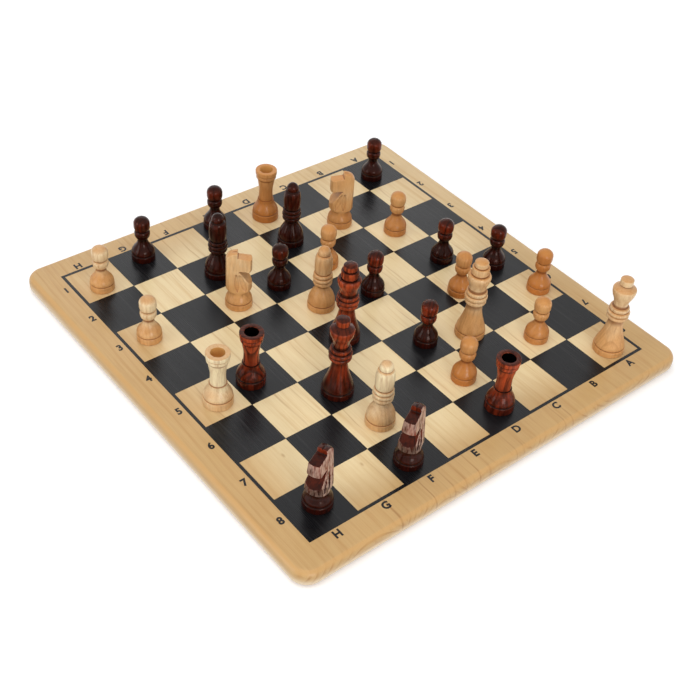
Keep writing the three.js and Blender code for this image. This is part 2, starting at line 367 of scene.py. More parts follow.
    def mix(self, share: Feed, first: Feed, second: Feed, blend: str = "MIX") -> Socket:
        """Mixes two colours.

        Args:
            share: Share of the second colour.
            first: First colour or output.
            second: Second colour or output.
            blend: How they are blended.

        Returns:
            The mixed colour.
        """
        node = self.node("Mix", data_type="RGBA", blend_type=blend, clamp_factor=True)
        colours = [socket for socket in node.inputs if socket.type == "RGBA"]
        self.feed([node.inputs["Factor"], *colours], share, first, second)
        return next(socket for socket in node.outputs if socket.type == "RGBA")

    def bump(self, height: Socket, depth: float, strength: float) -> Socket:
        """Turns a height into a bumped surface direction.

        Args:
            height: Height from 0 to 1.
            depth: How deep a full step is, in metres.
            strength: How much of it is felt.

        Returns:
            The bumped normal.
        """
        node = self.node("Bump")
        self.feed([node.inputs[name] for name in ("Height", "Distance", "Strength")], height, depth, strength)
        return node.outputs[0]


@dataclass(frozen=True)
class GrowthRings:
    """Rings of pale early wood and darker late wood, with weak and strong years."""

    spacing: float
    rise: Ramp
    fall: Ramp
    year: Grain
    strength: Ramp

    def late(self, g: Graph, turns: Socket, *log: Feed) -> Socket:
        """Finds the late wood.

        Args:
            g: The material.
            turns: How many rings the point is from the heart.
            *log: Two values that tell one log from another.

        Returns:
            Share of late wood.
        """
        ring = g.math("FRACT", turns)
        year = g.noise(g.join(g.math("FLOOR", turns), *log), self.year)
        return g.times(g.fade(ring, self.rise), g.fade(ring, self.fall), g.fade(year, self.strength))


@dataclass(frozen=True)
class PineFinish:
    """Clear-lacquered pine with growth rings that run on from the face into the end grain.

    Streaks are given as place across the board, half width and strength, and knots as place and size. Their
    lengths are in millimetres.
    """

    early: Colour = srgb(234, 212, 166)
    late: Colour = srgb(200, 160, 104)
    streak: Colour = srgb(164, 114, 62)
    # The next three colours are painted light: shade towards the edges, a shaded band on the rounded edge and
    # a near-white glow low on the sides.
    edge_shade_colour: Colour = (0.69, 0.55, 0.4, 1.0)
    rounded: Colour = srgb(206, 158, 98)
    lit_edge_colour: Colour = srgb(252, 240, 214)
    rings: GrowthRings = GrowthRings(
        spacing=0.0034,
        rise=Ramp(0.45, 0.9),
        fall=Ramp(0.93, 1.0, 1.0, 0.0),
        year=Grain(1.7, 1.0),
        strength=Ramp(0.35, 0.68, 0.15, 1.0),
    )
    wander: Grain = Grain(11.0, stretch=(0.35, 1.0, 0.35))
    sway: float = 0.012
    lean: float = 0.02
    ripple: Grain = Grain(16.0, 3.0, stretch=(6.0, 0.8, 1.0))
    ripple_share: float = 0.7
    end_grain: Ramp = Ramp(0.55, 0.95)
    rings_shown: Ramp = Ramp(0.0, 1.0, 0.2, 0.7)
    fibre: Grain = Grain(2600.0, 3.0, 0.6, (1.0, 0.02, 1.0))
    fibre_shown: Ramp = Ramp(0.3, 0.75, 0.0, 0.2)
    coarse: Grain = Grain(420.0, 2.0, 0.55, (1.0, 0.03, 1.0))
    coarse_shown: Ramp = Ramp(0.5, 0.75, 0.0, 0.32)
    mottle: Grain = Grain(130.0, 3.0, 0.6, (1.0, 0.3, 1.0))
    mottle_shown: Ramp = Ramp(0.45, 0.75, 0.0, 0.16)
    pores: Grain = Grain(3200.0, 1.0)
    pores_shown: Ramp = Ramp(0.5, 0.8, 0.0, 0.3)
    streaks: tuple[Triple, ...] = (
        (-114.0, 0.9, 0.3), (-80.5, 1.1, 0.55), (-70.0, 0.8, 0.5), (-56.6, 0.7, 0.5), (-47.0, 0.7, 0.45),
        (-43.0, 1.0, 0.35), (-34.6, 0.8, 0.4), (-24.5, 0.8, 0.55), (-17.0, 1.4, 0.4), (3.8, 0.8, 0.4),
        (9.5, 0.9, 0.35), (28.0, 0.7, 0.4), (43.2, 0.8, 0.45), (49.3, 0.8, 0.4), (70.5, 0.9, 0.4),
        (103.0, 1.1, 0.35),
    )
    streak_path: Grain = Grain(22.0, stretch=(0.0, 1.0, 0.0))
    streak_bend: float = 0.006
    streak_breaks: Grain = Grain(16.0)
    streak_shown: Ramp = Ramp(0.42, 0.62)
    knots: tuple[Triple, ...] = ((-104.6, -73.3, 1.3), (-73.6, -102.9, 1.2), (57.0, 34.0, 1.0))
    knot_squeeze: float = 0.5
    knot_share: float = 0.5
    edge_shade_out: Ramp = Ramp(0.095, 0.134)
    edge_shade_corner: Ramp = Ramp(0.0, 0.24, 1.0, 0.55)
    roundover_shade_from: Ramp = Ramp(0.3, 0.75)
    roundover_shade_to: Ramp = Ramp(0.93, 0.998, 1.0, 0.0)
    roundover_shade_share: float = 0.5
    upright: Ramp = Ramp(0.2, 0.6, 1.0, 0.0)
    lit_edge_height: Ramp = Ramp(0.0015, 0.0075, 0.75, 0.0)
    roughness: Ramp = Ramp(0.3, 0.8, 0.34, 0.5)
    specular: float = 0.3
    coat: float = 0.25
    coat_roughness: Ramp = Ramp(0.3, 0.7, 0.14, 0.24)
    fibre_height: float = 0.6
    ring_height: float = 0.4
    bump_depth: float = 0.00004
    bump_strength: float = 0.35

    def material(self) -> bpy.types.Material:
        """Makes the finish.

        Returns:
            The material.
        """
        g = Graph(Slot.PINE.value)
        place = g.place()
        x, y, z = g.split(place)
        pith_x, _, pith_z = g.split(g.attribute("pith", "Vector"))
        _, face_y, face_z = g.split(g.normal())

        # Rings round the heart of each stave's log, which leans and wanders along the grain.
        across = g.plus(g.minus(x, pith_x), g.swing(g.noise(place, self.wander), self.sway))
        down = g.plus(g.minus(z, pith_z), g.times(y, self.lean))
        reach = g.vector("LENGTH", g.join(across, down, 0.0))
        ripple = g.times(g.noise(place, self.ripple), self.ripple_share)
        turns = g.plus(g.math("DIVIDE", reach, self.rings.spacing), ripple)
        late = self.rings.late(g, turns, 0.0, pith_x)

        # Face and end grain show the rings with different strength.
        end = g.fade(g.math("ABSOLUTE", face_y), self.end_grain)
        colour = g.mix(g.times(late, g.fade(end, self.rings_shown)), self.early, self.late)

        # Fine fibres along the grain.
        fibre = g.noise(place, self.fibre)
        coarse = g.noise(place, self.coarse)
        mottle = g.noise(place, self.mottle)
        shown = ((coarse, self.coarse_shown), (fibre, self.fibre_shown), (mottle, self.mottle_shown))
        for noise, ramp in shown:
            colour = g.mix(g.fade(noise, ramp), colour, self.late)

        # Single brown lines and small knots.
        colour = g.mix(self.brown(g, place), colour, self.streak)

        # Painted shade: the face is darker and warmer towards the edges, strongest on the front-left half.
        out = g.math("MAXIMUM", g.math("ABSOLUTE", x), g.math("ABSOLUTE", y))
        edge_shade_share = g.times(g.fade(out, self.edge_shade_out), g.fade(g.plus(x, y), self.edge_shade_corner))
        colour = g.mix(edge_shade_share, colour, self.edge_shade_colour, "MULTIPLY")
        # Painted shade: a darker band on the upper part of the rounded edge, where it turns away from the
        # light.
        slope = g.math("ABSOLUTE", face_z)
        edge = g.times(g.fade(slope, self.roundover_shade_from), g.fade(slope, self.roundover_shade_to), self.roundover_shade_share)
        colour = g.mix(edge, colour, self.rounded)
        # Painted light: the lower part of the upright sides is painted near white, as if lit by the bright
        # floor.
        colour = g.mix(g.times(g.fade(slope, self.upright), g.fade(z, self.lit_edge_height)), colour, self.lit_edge_colour)
        pores = g.fade(g.noise(place, self.pores), self.pores_shown)
        colour = g.mix(g.times(end, pores), colour, self.late)

        g.set("Base Color", colour)
        g.set("Roughness", g.fade(coarse, self.roughness))
        g.set("Specular IOR Level", self.specular)
        g.set("Coat Weight", self.coat)
        g.set("Coat Roughness", g.fade(mottle, self.coat_roughness))
        height = g.plus(g.times(fibre, self.fibre_height), g.times(late, self.ring_height))
        g.set("Normal", g.bump(height, self.bump_depth, self.bump_strength))
        return g.material

    def brown(self, g: Graph, place: Socket) -> Socket:
        """Finds the single brown lines and the knots.

        Args:
            g: The material.
            place: The point's place.

        Returns:
            Share of brown.
        """
        x, y, _ = g.split(place)
        bent = g.plus(x, g.swing(g.noise(place, self.streak_path), self.streak_bend))
        brown: Feed = 0.0
        for i, (middle, width, strength) in enumerate(self.streaks):
            off = g.math("ABSOLUTE", g.minus(bent, middle * MM))
            line = g.fade(off, Ramp(0.0, width * MM, strength, 0.0))
            broken = g.fade(g.noise(g.join(float(i), y, 0.0), self.streak_breaks), self.streak_shown)
            brown = g.math("MAXIMUM", brown, g.times(line, broken))
        for knot_x, knot_y, size in self.knots:
            along = g.times(g.minus(y, knot_y * MM), self.knot_squeeze)
            off = g.vector("LENGTH", g.join(g.minus(x, knot_x * MM), along, 0.0))
            brown = g.math("MAXIMUM", brown, g.fade(off, Ramp(0.0, size * MM, self.knot_share, 0.0)))
        return brown


@dataclass(frozen=True)
class InkFinish:
    """Black print that lies thin over the grain and keeps its fine lines."""

    body: Colour = srgb(15, 15, 17)
    worn: Colour = srgb(58, 57, 58)
    worn_share: float = 0.55
    fibre: Grain = Grain(2300.0, 3.0, 0.6, (1.0, 0.02, 1.0))
    fibre_worn: Ramp = Ramp(0.35, 0.7)
    fibre_rough: Ramp = Ramp(0.25, 0.75, -0.05, 0.07)
    line: Grain = Grain(520.0, 2.0, 0.6, (1.0, 0.03, 1.0))
    line_worn: Ramp = Ramp(0.5, 0.78)
    cloud: Grain = Grain(26.0, 3.0)
    cloud_rough: Ramp = Ramp(0.3, 0.7, -0.04, 0.05)
    roughness: float = 0.29
    specular: float = 0.29
    height_share: float = 0.5
    bump_depth: float = 0.00005
    bump_strength: float = 0.4

    def material(self) -> bpy.types.Material:
        """Makes the finish.

        Returns:
            The material.
        """
        g = Graph(Slot.INK.value)
        place = g.place()
        fibre = g.noise(place, self.fibre)
        line = g.noise(place, self.line)
        cloud = g.noise(place, self.cloud)
        thin = g.times(g.fade(line, self.line_worn), g.fade(fibre, self.fibre_worn), self.worn_share)
        g.set("Base Color", g.mix(thin, self.body, self.worn))
        rough = g.plus(g.fade(fibre, self.fibre_rough), g.fade(cloud, self.cloud_rough), self.roughness)
        g.set("Roughness", rough)
        g.set("Specular IOR Level", self.specular)
        height = g.plus(g.times(fibre, self.height_share), g.times(line, self.height_share))
        g.set("Normal", g.bump(height, self.bump_depth, self.bump_strength))
        return g.material


@dataclass(frozen=True)
class TurnedFinish:
    """Wood turned on a lathe, with its grain upright, growth rings cut across and a lacquer over it."""

    slot: Slot
    pale: Colour
    middle: Colour
    deep: Colour
    vein: Colour
    # groove, end and well are painted shade, ridge a painted highlight, sawn a pale painted sheen.
    groove: Colour
    ridge: Colour
    sawn: Colour
    end: Colour
    well: Colour
    shine: Colour
    sawn_sheen_share: float
    ring_share: float
    specular: float
    coat: float
    roughness: Ramp
    coat_roughness: Ramp
    flame_shown: Ramp
    top_shade_shown: Ramp
    foot_shade_shown: Ramp
    seed_step: float = 37.0
    heart_step: float = 61.0
    heart_reach: float = 0.034
    rings: GrowthRings = GrowthRings(
        spacing=0.0021,
        rise=Ramp(0.3, 0.85),
        fall=Ramp(0.86, 1.0, 1.0, 0.0),
        year=Grain(1.9, 1.0),
        strength=Ramp(0.35, 0.7, 0.1, 1.0),
    )
    wander: Grain = Grain(60.0, stretch=(1.0, 1.0, 0.4))
    sway: float = 0.003
    lean: float = 0.05
    fibre: Grain = Grain(2400.0, 3.0, 0.6, (1.0, 1.0, 0.05))
    fibre_shown: Ramp = Ramp(0.4, 0.75, 0.0, 0.22)
    pore: Grain = Grain(900.0, stretch=(1.0, 1.0, 0.08))
    pore_shown: Ramp = Ramp(0.55, 0.8, 0.0, 0.4)
    flame: Grain = Grain(330.0, 3.0, 0.6, (1.0, 1.0, 0.16))
    cloud: Grain = Grain(70.0, 3.0)
    cloud_swing: float = 0.5
    to_middle: Ramp = Ramp(0.0, 0.5)
    to_deep: Ramp = Ramp(0.5, 1.0)
    saw_lines: Grain = Grain(700.0, 2.0, 0.6, (1.0, 1.0, 0.25))
    saw_shown: Ramp = Ramp(0.3, 0.62)
    ridge_highlight_patches: Ramp = Ramp(0.3, 0.65, 0.15, 0.7)
    groove_shade_share: float = 0.8
    tool_pitch: float = 15000.0
    tool_drift: float = 9.0
    tool_height: float = 0.12
    fibre_height: float = 0.5
    bump_depth: float = 0.00005
    bump_strength: float = 0.3

    def material(self) -> bpy.types.Material:
        """Makes the finish.

        Returns:
            The material.
        """
        g = Graph(self.slot.value)
        local = g.vector("SUBTRACT", g.place(), g.attribute("foot", "Vector"))
        _, _, z = g.split(local)
        _, _, facing = g.split(g.normal())
        tint = g.attribute("tint")
        seed = g.times(tint, self.seed_step)
        own = g.vector("ADD", local, g.join(seed, 0.0, 0.0))

        # The tree's heart lies beside the piece, a different way round for each one.
        turn = g.times(tint, self.heart_step)
        heart = [g.times(g.math(part, turn), self.heart_reach) for part in ("COSINE", "SINE")]
        off = g.vector("LENGTH", g.vector("SUBTRACT", local, g.join(*heart, z)))
        reach = g.plus(off, g.times(g.noise(own, self.wander), self.sway), g.times(z, self.lean))
        late = self.rings.late(g, g.math("DIVIDE", reach, self.rings.spacing), seed, 0.0)

        # Each piece has its own depth of colour, partly its wood and partly painted light, with painted shade
        # deeper towards the foot, under its rings and fibres.
        fibre = g.noise(local, self.fibre)
        pore = g.noise(local, self.pore)
        cloud = g.noise(own, self.cloud)
        depth = g.plus(tint, g.swing(cloud, self.cloud_swing), g.fade(z, self.foot_shade_shown))
        colour = g.mix(g.fade(depth, self.to_middle), self.pale, self.middle)
        colour = g.mix(g.fade(depth, self.to_deep), colour, self.deep)
        colour = g.mix(g.times(late, self.ring_share), colour, self.vein)
        flame = g.noise(own, self.flame)
        shown = ((flame, self.flame_shown), (pore, self.pore_shown), (fibre, self.fibre_shown))
        for noise, ramp in shown:
            colour = g.mix(g.fade(noise, ramp), colour, self.vein)

        # Painted light: sawn faces get a pale painted sheen of reflected light, in streaks.
        lines = g.fade(g.noise(local, self.saw_lines), self.saw_shown)
        colour = g.mix(g.times(g.attribute("sawn"), lines, self.sawn_sheen_share), colour, self.sawn)
        # Painted shade on faces that look up or down.
        colour = g.mix(g.fade(g.math("ABSOLUTE", facing), self.top_shade_shown), colour, self.end)
        # Painted highlight along ridges, in patches.
        colour = g.mix(g.times(g.attribute("ridge"), g.fade(cloud, self.ridge_highlight_patches)), colour, self.ridge)
        # Painted shade in grooves.
        colour = g.mix(g.times(g.attribute("groove"), self.groove_shade_share), colour, self.groove)
        # Painted shade inside a rook's well, near black on the dark wood.
        colour = g.mix(g.attribute("well"), colour, self.well)

        # Marks left by the turning tool.
        mark = g.math("SINE", g.plus(g.times(z, self.tool_pitch), g.times(cloud, self.tool_drift)))
        height = g.plus(g.times(mark, self.tool_height), g.times(fibre, self.fibre_height))

        g.set("Base Color", colour)
        g.set("Roughness", g.fade(cloud, self.roughness))
        g.set("Specular IOR Level", self.specular)
        g.set("Specular Tint", self.shine)
        g.set("Coat Weight", self.coat)
        g.set("Coat Roughness", g.fade(pore, self.coat_roughness))
        g.set("Normal", g.bump(height, self.bump_depth, self.bump_strength))
        return g.material


# In both finishes the groove, end and well colours are painted shade, the ridge colour a painted highlight,
# the sawn colour a pale painted sheen, and the foot ramp paints shade towards the foot.
FINISHES = {
    Tone.LIGHT: TurnedFinish(
        slot=Slot.LIGHT_WOOD,
        pale=srgb(250, 234, 192),
        middle=srgb(222, 168, 108),
        deep=srgb(192, 120, 58),
        vein=srgb(160, 98, 48),
        groove=srgb(132, 74, 34),
        ridge=srgb(234, 214, 174),
        sawn=srgb(226, 176, 116),
        end=srgb(188, 124, 58),
        well=srgb(206, 154, 88),
        shine=(1.0, 0.93, 0.82, 1.0),
        sawn_sheen_share=0.35,
        ring_share=0.26,
        specular=0.15,
        coat=0.28,
        roughness=Ramp(0.3, 0.7, 0.35, 0.48),
        coat_roughness=Ramp(0.3, 0.8, 0.098, 0.21),
        flame_shown=Ramp(0.42, 0.66, 0.0, 0.22),
        top_shade_shown=Ramp(0.25, 0.9, 0.0, 0.64),
        foot_shade_shown=Ramp(0.004, 0.026, 0.3, 0.0),
    ),
    Tone.DARK: TurnedFinish(
        slot=Slot.DARK_WOOD,
        pale=srgb(184, 78, 42),
        middle=srgb(130, 47, 23),
        deep=srgb(52, 13, 6),
        vein=srgb(22, 7, 5),
        groove=srgb(6, 3, 3),
        ridge=srgb(196, 112, 86),
        sawn=srgb(214, 180, 162),
        end=srgb(24, 8, 6),
        well=srgb(4, 2, 2),
        shine=(1.0, 0.5, 0.36, 1.0),
        sawn_sheen_share=0.75,
        ring_share=0.8,
        specular=0.12,
        coat=0.14,
        roughness=Ramp(0.3, 0.7, 0.19, 0.32),
        coat_roughness=Ramp(0.3, 0.8, 0.028, 0.06),
        flame_shown=Ramp(0.42, 0.66, 0.0, 0.7),
        top_shade_shown=Ramp(0.25, 0.9, 0.0, 0.8),
        foot_shade_shown=Ramp(0.004, 0.026, 0.65, 0.0),
    ),
}


class Ease(float, Enum):
    """How far a turned corner is rounded."""

    CUT = 0.15
    CRISP = 0.2
    FINE = 0.3
    LIP = 0.35
    PLAIN = 0.4
    SOFT = 0.5
    FULL = 0.6


class Outline:
    """Half outline of a turned piece, drawn upwards from the middle of its foot, in millimetres."""

    SWEEP_STEPS = 14
    ROUND_STEPS = 7
    EASE_STEPS = 3
    EASE_LIMIT = 0.48
    MERGE = 1e-4

    def __init__(self, height: float = 0.0) -> None:
        """Starts on the axis.

        Args:
            height: How high above the board it starts.
        """
        self.points: list[Vector] = [Vector((0.0, height))]
        self.eases: dict[int, float] = {}

    @property
    def end(self) -> Vector:
        """The last point: radius and height."""
        return self.points[-1]

    def line_to(self, radius: float, rise: float, ease: float = 0.0) -> "Outline":
        """Draws a straight stretch.

        Args:
            radius: Radius at its end.
            rise: How much higher its end is.
            ease: How far its end corner is rounded.

        Returns:
            The outline itself.
        """
        self.points.append(Vector((radius, self.end.y + rise)))
        if ease:
            self.eases[len(self.points) - 1] = ease
        return self

    def sweep_to(self, radius: float, rise: float, low: float = 0.45, high: float = 0.45) -> "Outline":
        """Draws a smooth curve that leaves and arrives upright.

        Args:
            radius: Radius at its end.
            rise: How much higher its end is.
            low: How far it keeps its first direction, as a share of the rise.
            high: How early it takes its last direction.

        Returns:
            The outline itself.
        """
        start = self.end.copy()
        finish = Vector((radius, start.y + rise))
        first = start + Vector((0.0, low * rise))
        second = finish - Vector((0.0, high * rise))
        for i in range(1, self.SWEEP_STEPS + 1):
            t = i / self.SWEEP_STEPS
            s = 1 - t
            self.points.append(s**3 * start + 3 * s * s * t * first + 3 * s * t * t * second + t**3 * finish)
        return self

    def arc(self, centre: Vector, wide: float, tall: float, first: float, last: float) -> "Outline":
        """Draws part of an ellipse.

        Args:
            centre: Its centre.
            wide: Its half width.
            tall: Its half height.
            first: Angle where it starts, in radians.
            last: Angle where it ends.

        Returns:
            The outline itself.
        """
        for i in range(1, self.ROUND_STEPS + 1):
            angle = first + (last - first) * i / self.ROUND_STEPS
            self.points.append(centre + Vector((wide * math.cos(angle), tall * math.sin(angle))))
        return self

    def swell(self, radius: float, rise: float) -> "Outline":
        """Draws a quarter round that leaves level and arrives upright.

        Args:
            radius: Radius at its end.
            rise: How much higher its end is.

        Returns:
            The outline itself.
        """
        start = self.end.copy()
        return self.arc(Vector((start.x, start.y + rise)), radius - start.x, rise, -math.pi / 2, 0.0)

    def shoulder(self, radius: float, rise: float) -> "Outline":
        """Draws a quarter round that leaves upright and arrives level.

        Args:
            radius: Radius at its end.
            rise: How much higher its end is.

        Returns:
            The outline itself.
        """
        start = self.end.copy()
        return self.arc(Vector((radius, start.y)), start.x - radius, rise, 0.0, math.pi / 2)

    def bead(self, radius: float, rise: float, end_radius: float, low_share: float = 0.5) -> "Outline":
        """Draws a round bulge.

        Args:
            radius: Its largest radius.
            rise: Its height.
            end_radius: Radius where it ends.
            low_share: Share of its height below its widest point.

        Returns:
            The outline itself.
        """
        return self.swell(radius, rise * low_share).shoulder(end_radius, rise * (1 - low_share))

    def groove(self, depth: float, width: float, end_radius: float) -> "Outline":
        """Draws a narrow V cut.

        Args:
            depth: How deep it goes.
            width: Its width.
            end_radius: Radius of its upper edge.

        Returns:
            The outline itself.
        """
        self.eases[len(self.points) - 1] = Ease.PLAIN
        self.line_to(self.end.x - depth, width / 2, Ease.CUT)
        return self.line_to(end_radius, width / 2, Ease.LIP)

    def dome(self, rise: float) -> "Outline":
        """Draws a rounded top that closes on the axis.

        Args:
            rise: Its height.

        Returns:
            The outline itself.
        """
        self.shoulder(0.0, rise)
        self.end.x = 0.0
        return self

    def eased(self) -> list[Vector]:
        """Gives the outline with its marked corners rounded.

        Returns:
            The points from the foot to the top.
        """
        out: list[Vector] = []
        last = len(self.points) - 1
        for i, point in enumerate(self.points):
            ease = self.eases.get(i, 0.0)
            if not ease or i in (0, last):
                out.append(point)
                continue
            before = self.points[i - 1] - point
            after = self.points[i + 1] - point
            start = point + before.normalized() * min(ease, before.length * self.EASE_LIMIT)
            finish = point + after.normalized() * min(ease, after.length * self.EASE_LIMIT)
            for k in range(self.EASE_STEPS + 1):
                t = k / self.EASE_STEPS
                out.append((1 - t) ** 2 * start + 2 * t * (1 - t) * point + t * t * finish)
        return out

    def turn(self, steps: int) -> bmesh.types.BMesh:
        """Turns the outline about the upright axis.

        Args:
            steps: Facets round the piece.

        Returns:
            A closed mesh in millimetres.
        """
        bm = bmesh.new()
        verts = [bm.verts.new((p.x, 0.0, p.y)) for p in self.eased()]
        edges = [bm.edges.new(pair) for pair in zip(verts, verts[1:])]
        bmesh.ops.spin(
            bm, geom=verts + edges, cent=(0.0, 0.0, 0.0), axis=(0.0, 0.0, 1.0), angle=2 * math.pi,
            steps=steps, use_merge=True, use_normal_flip=False, use_duplicate=False,
        )
        bmesh.ops.remove_doubles(bm, verts=bm.verts[:], dist=self.MERGE)
        bmesh.ops.recalc_face_normals(bm, faces=bm.faces[:])
        return bm


@dataclass(frozen=True)
class Stand:
    """Foot, groove and bell that every piece begins with."""

    foot_radius: float
    foot_height: float
    bell_radius: float
    bell_rise: float
    neck_radius: float
    pull_low: float = 0.36
    pull_high: float = 0.42
    groove_depth: float = 0.8
    groove_width: float = 1.0

    def outline(self) -> Outline:
        """Draws the stand.

        Returns:
            The outline up to the neck.
        """
        return (
            Outline()
            .line_to(self.foot_radius, 0.0, Ease.SOFT)
            .line_to(self.foot_radius, self.foot_height)
            .groove(self.groove_depth, self.groove_width, self.bell_radius)
            .sweep_to(self.neck_radius, self.bell_rise, self.pull_low, self.pull_high)
        )


@dataclass(frozen=True)
class RingStack:
    """Rings that lie on each other under a head, from the lowest up, each with its radius and rise."""

    rings: tuple[tuple[float, float], ...]
    seat: float

    def draw(self, outline: Outline, end_radius: float) -> Outline:
        """Draws the rings.

        Args:
            outline: The outline so far.
            end_radius: Radius where the last ring ends.

        Returns:
            The outline with the rings.
        """
        ends = [self.seat] * (len(self.rings) - 1) + [end_radius]
        for (radius, rise), end in zip(self.rings, ends):
            outline.bead(radius, rise, end)
        return outline


@dataclass(frozen=True)
class Piece:
    """A turned piece."""

    stand: Stand
    steps: int = 56

    def outline(self) -> Outline:
        """Draws the half outline.

        Returns:
            The outline from foot to top.
        """
        return self.stand.outline()

    def build(self) -> bpy.types.Mesh:
        """Makes the piece on its own, standing on the origin.

        Returns:
            The mesh, in metres.
        """
        return mesh_from(self.outline().turn(self.steps), "piece", TO_METRES)


@dataclass(frozen=True)
class Pawn(Piece):
    """Pawn: a round-topped head on a collar."""

    stand: Stand = Stand(7.6, 4.0, 7.5, 11.0, 3.05, pull_low=0.4, pull_high=0.55, groove_depth=0.7)
    collar_radius: float = 5.0
    collar_rise: float = 6.0
    collar_low_share: float = 0.6
    head_seat: float = 3.6
    head_radius: float = 5.15
    head_swell: float = 3.0
    head_band: float = 2.2
    crown_rise: float = 4.2

    def outline(self) -> Outline:
        """Draws the half outline.

        Returns:
            The outline from foot to top.
        """
        return (
            self.stand.outline()
            .bead(self.collar_radius, self.collar_rise, self.head_seat, self.collar_low_share)
            .swell(self.head_radius, self.head_swell)
            .line_to(self.head_radius, self.head_band)
            .dome(self.crown_rise)
        )


@dataclass(frozen=True)
class Rook(Piece):
    """Rook: a flared shaft under a plain rim with a hollow top."""

    stand: Stand = Stand(8.8, 4.8, 8.5, 9.2, 5.3)
    ledge: float = 0.6
    shaft_radius: float = 4.5
    shaft_rise: float = 6.0
    flare_radius: float = 5.6
    flare_rise: float = 11.0
    band_radius: float = 6.6
    band_rise: float = 2.0
    rim_groove: float = 0.7
    rim_groove_width: float = 0.8
    rim_radius: float = 7.05
    rim_rise: float = 2.8
    well_radius: float = 4.2
    well_floor: float = 3.6
    well_depth: float = 7.0
    well_lip: float = 0.3
    well_spare: float = 0.1

    def outline(self) -> Outline:
        """Draws the half outline.

        Returns:
            The outline from foot to the floor of the well.
        """
        return (
            self.stand.outline()
            .line_to(self.stand.neck_radius - self.ledge, 0.0, Ease.CRISP)
            .sweep_to(self.shaft_radius, self.shaft_rise)
            .sweep_to(self.flare_radius, self.flare_rise)
            .line_to(self.band_radius, 0.0, Ease.FINE)
            .line_to(self.band_radius, self.band_rise)
            .groove(self.rim_groove, self.rim_groove_width, self.rim_radius)
            .line_to(self.rim_radius, self.rim_rise, Ease.SOFT)
            .line_to(self.well_radius, 0.0, Ease.PLAIN)
            .line_to(self.well_floor, -self.well_depth, Ease.FULL)
            .line_to(0.0, 0.0)
        )

    def build(self) -> bpy.types.Mesh:
        """Makes the piece on its own, standing on the origin, and marks the inside of its well.

        Returns:
            The mesh, in metres.
        """
        mesh = super().build()
        top = max(vert.co.z for vert in mesh.vertices)
        deepest = (self.well_depth + self.well_spare) * MM
        inside = [
            vert.co.xy.length < self.well_radius * MM and self.well_lip * MM < top - vert.co.z < deepest
            for vert in mesh.vertices
        ]
        tag(mesh, "well", [float(within) for within in inside])
        return mesh


@dataclass(frozen=True)
class Bishop(Piece):
    """Bishop: three rings under a smooth mitre with a round cap."""

    stand: Stand = Stand(8.7, 3.8, 8.4, 13.2, 3.9, pull_low=0.5, pull_high=0.33)
    stack: RingStack = RingStack(((6.0, 3.1), (6.25, 3.0), (5.9, 2.8)), seat=5.1)
    mitre_seat: float = 4.7
    mitre_radius: float = 5.5
    mitre_rise: float = 13.3
    mitre_top: float = 4.1
    cap_groove: float = 0.5
    cap_groove_width: float = 0.8
    cap_radius: float = 3.9
    cap_rise: float = 0.6
    crown_rise: float = 4.4

    def outline(self) -> Outline:
        """Draws the half outline.

        Returns:
            The outline from foot to top.
        """
        return (
            self.stack.draw(self.stand.outline(), self.mitre_seat)
            .bead(self.mitre_radius, self.mitre_rise, self.mitre_top)
            .groove(self.cap_groove, self.cap_groove_width, self.cap_radius)
            .line_to(self.cap_radius, self.cap_rise)
            .dome(self.crown_rise)
        )


@dataclass(frozen=True)
class Queen(Piece):
    """Queen: three rings under a tall coronet with a sloping top and a small knob."""

    stand: Stand = Stand(9.7, 3.8, 9.3, 20.6, 4.5, pull_low=0.14, pull_high=0.5)
    stack: RingStack = RingStack(((6.7, 3.2), (6.9, 3.1), (6.0, 3.0)), seat=5.4)
    waist_radius: float = 4.4
    waist_rise: float = 1.0
    coronet_radius: float = 7.1
    coronet_rise: float = 11.3
    rim_top: float = 6.8
    rim_rise: float = 0.8
    knob_neck: float = 3.1
    dish_rise: float = 2.4
    neck_rise: float = 0.5
    knob_radius: float = 4.0
    knob_rise: float = 3.2
    crown_rise: float = 1.2

    def outline(self) -> Outline:
        """Draws the half outline.

        Returns:
            The outline from foot to top.
        """
        return (
            self.stack.draw(self.stand.outline(), self.waist_radius)
            .line_to(self.waist_radius, self.waist_rise)
            .sweep_to(self.coronet_radius, self.coronet_rise)
            .line_to(self.rim_top, self.rim_rise, Ease.PLAIN)
            .line_to(self.knob_neck, self.dish_rise, Ease.FULL)
            .line_to(self.knob_neck, self.neck_rise)
            .line_to(self.knob_radius, 0.0, Ease.PLAIN)
            .line_to(self.knob_radius, self.knob_rise, Ease.SOFT)
            .dome(self.crown_rise)
        )


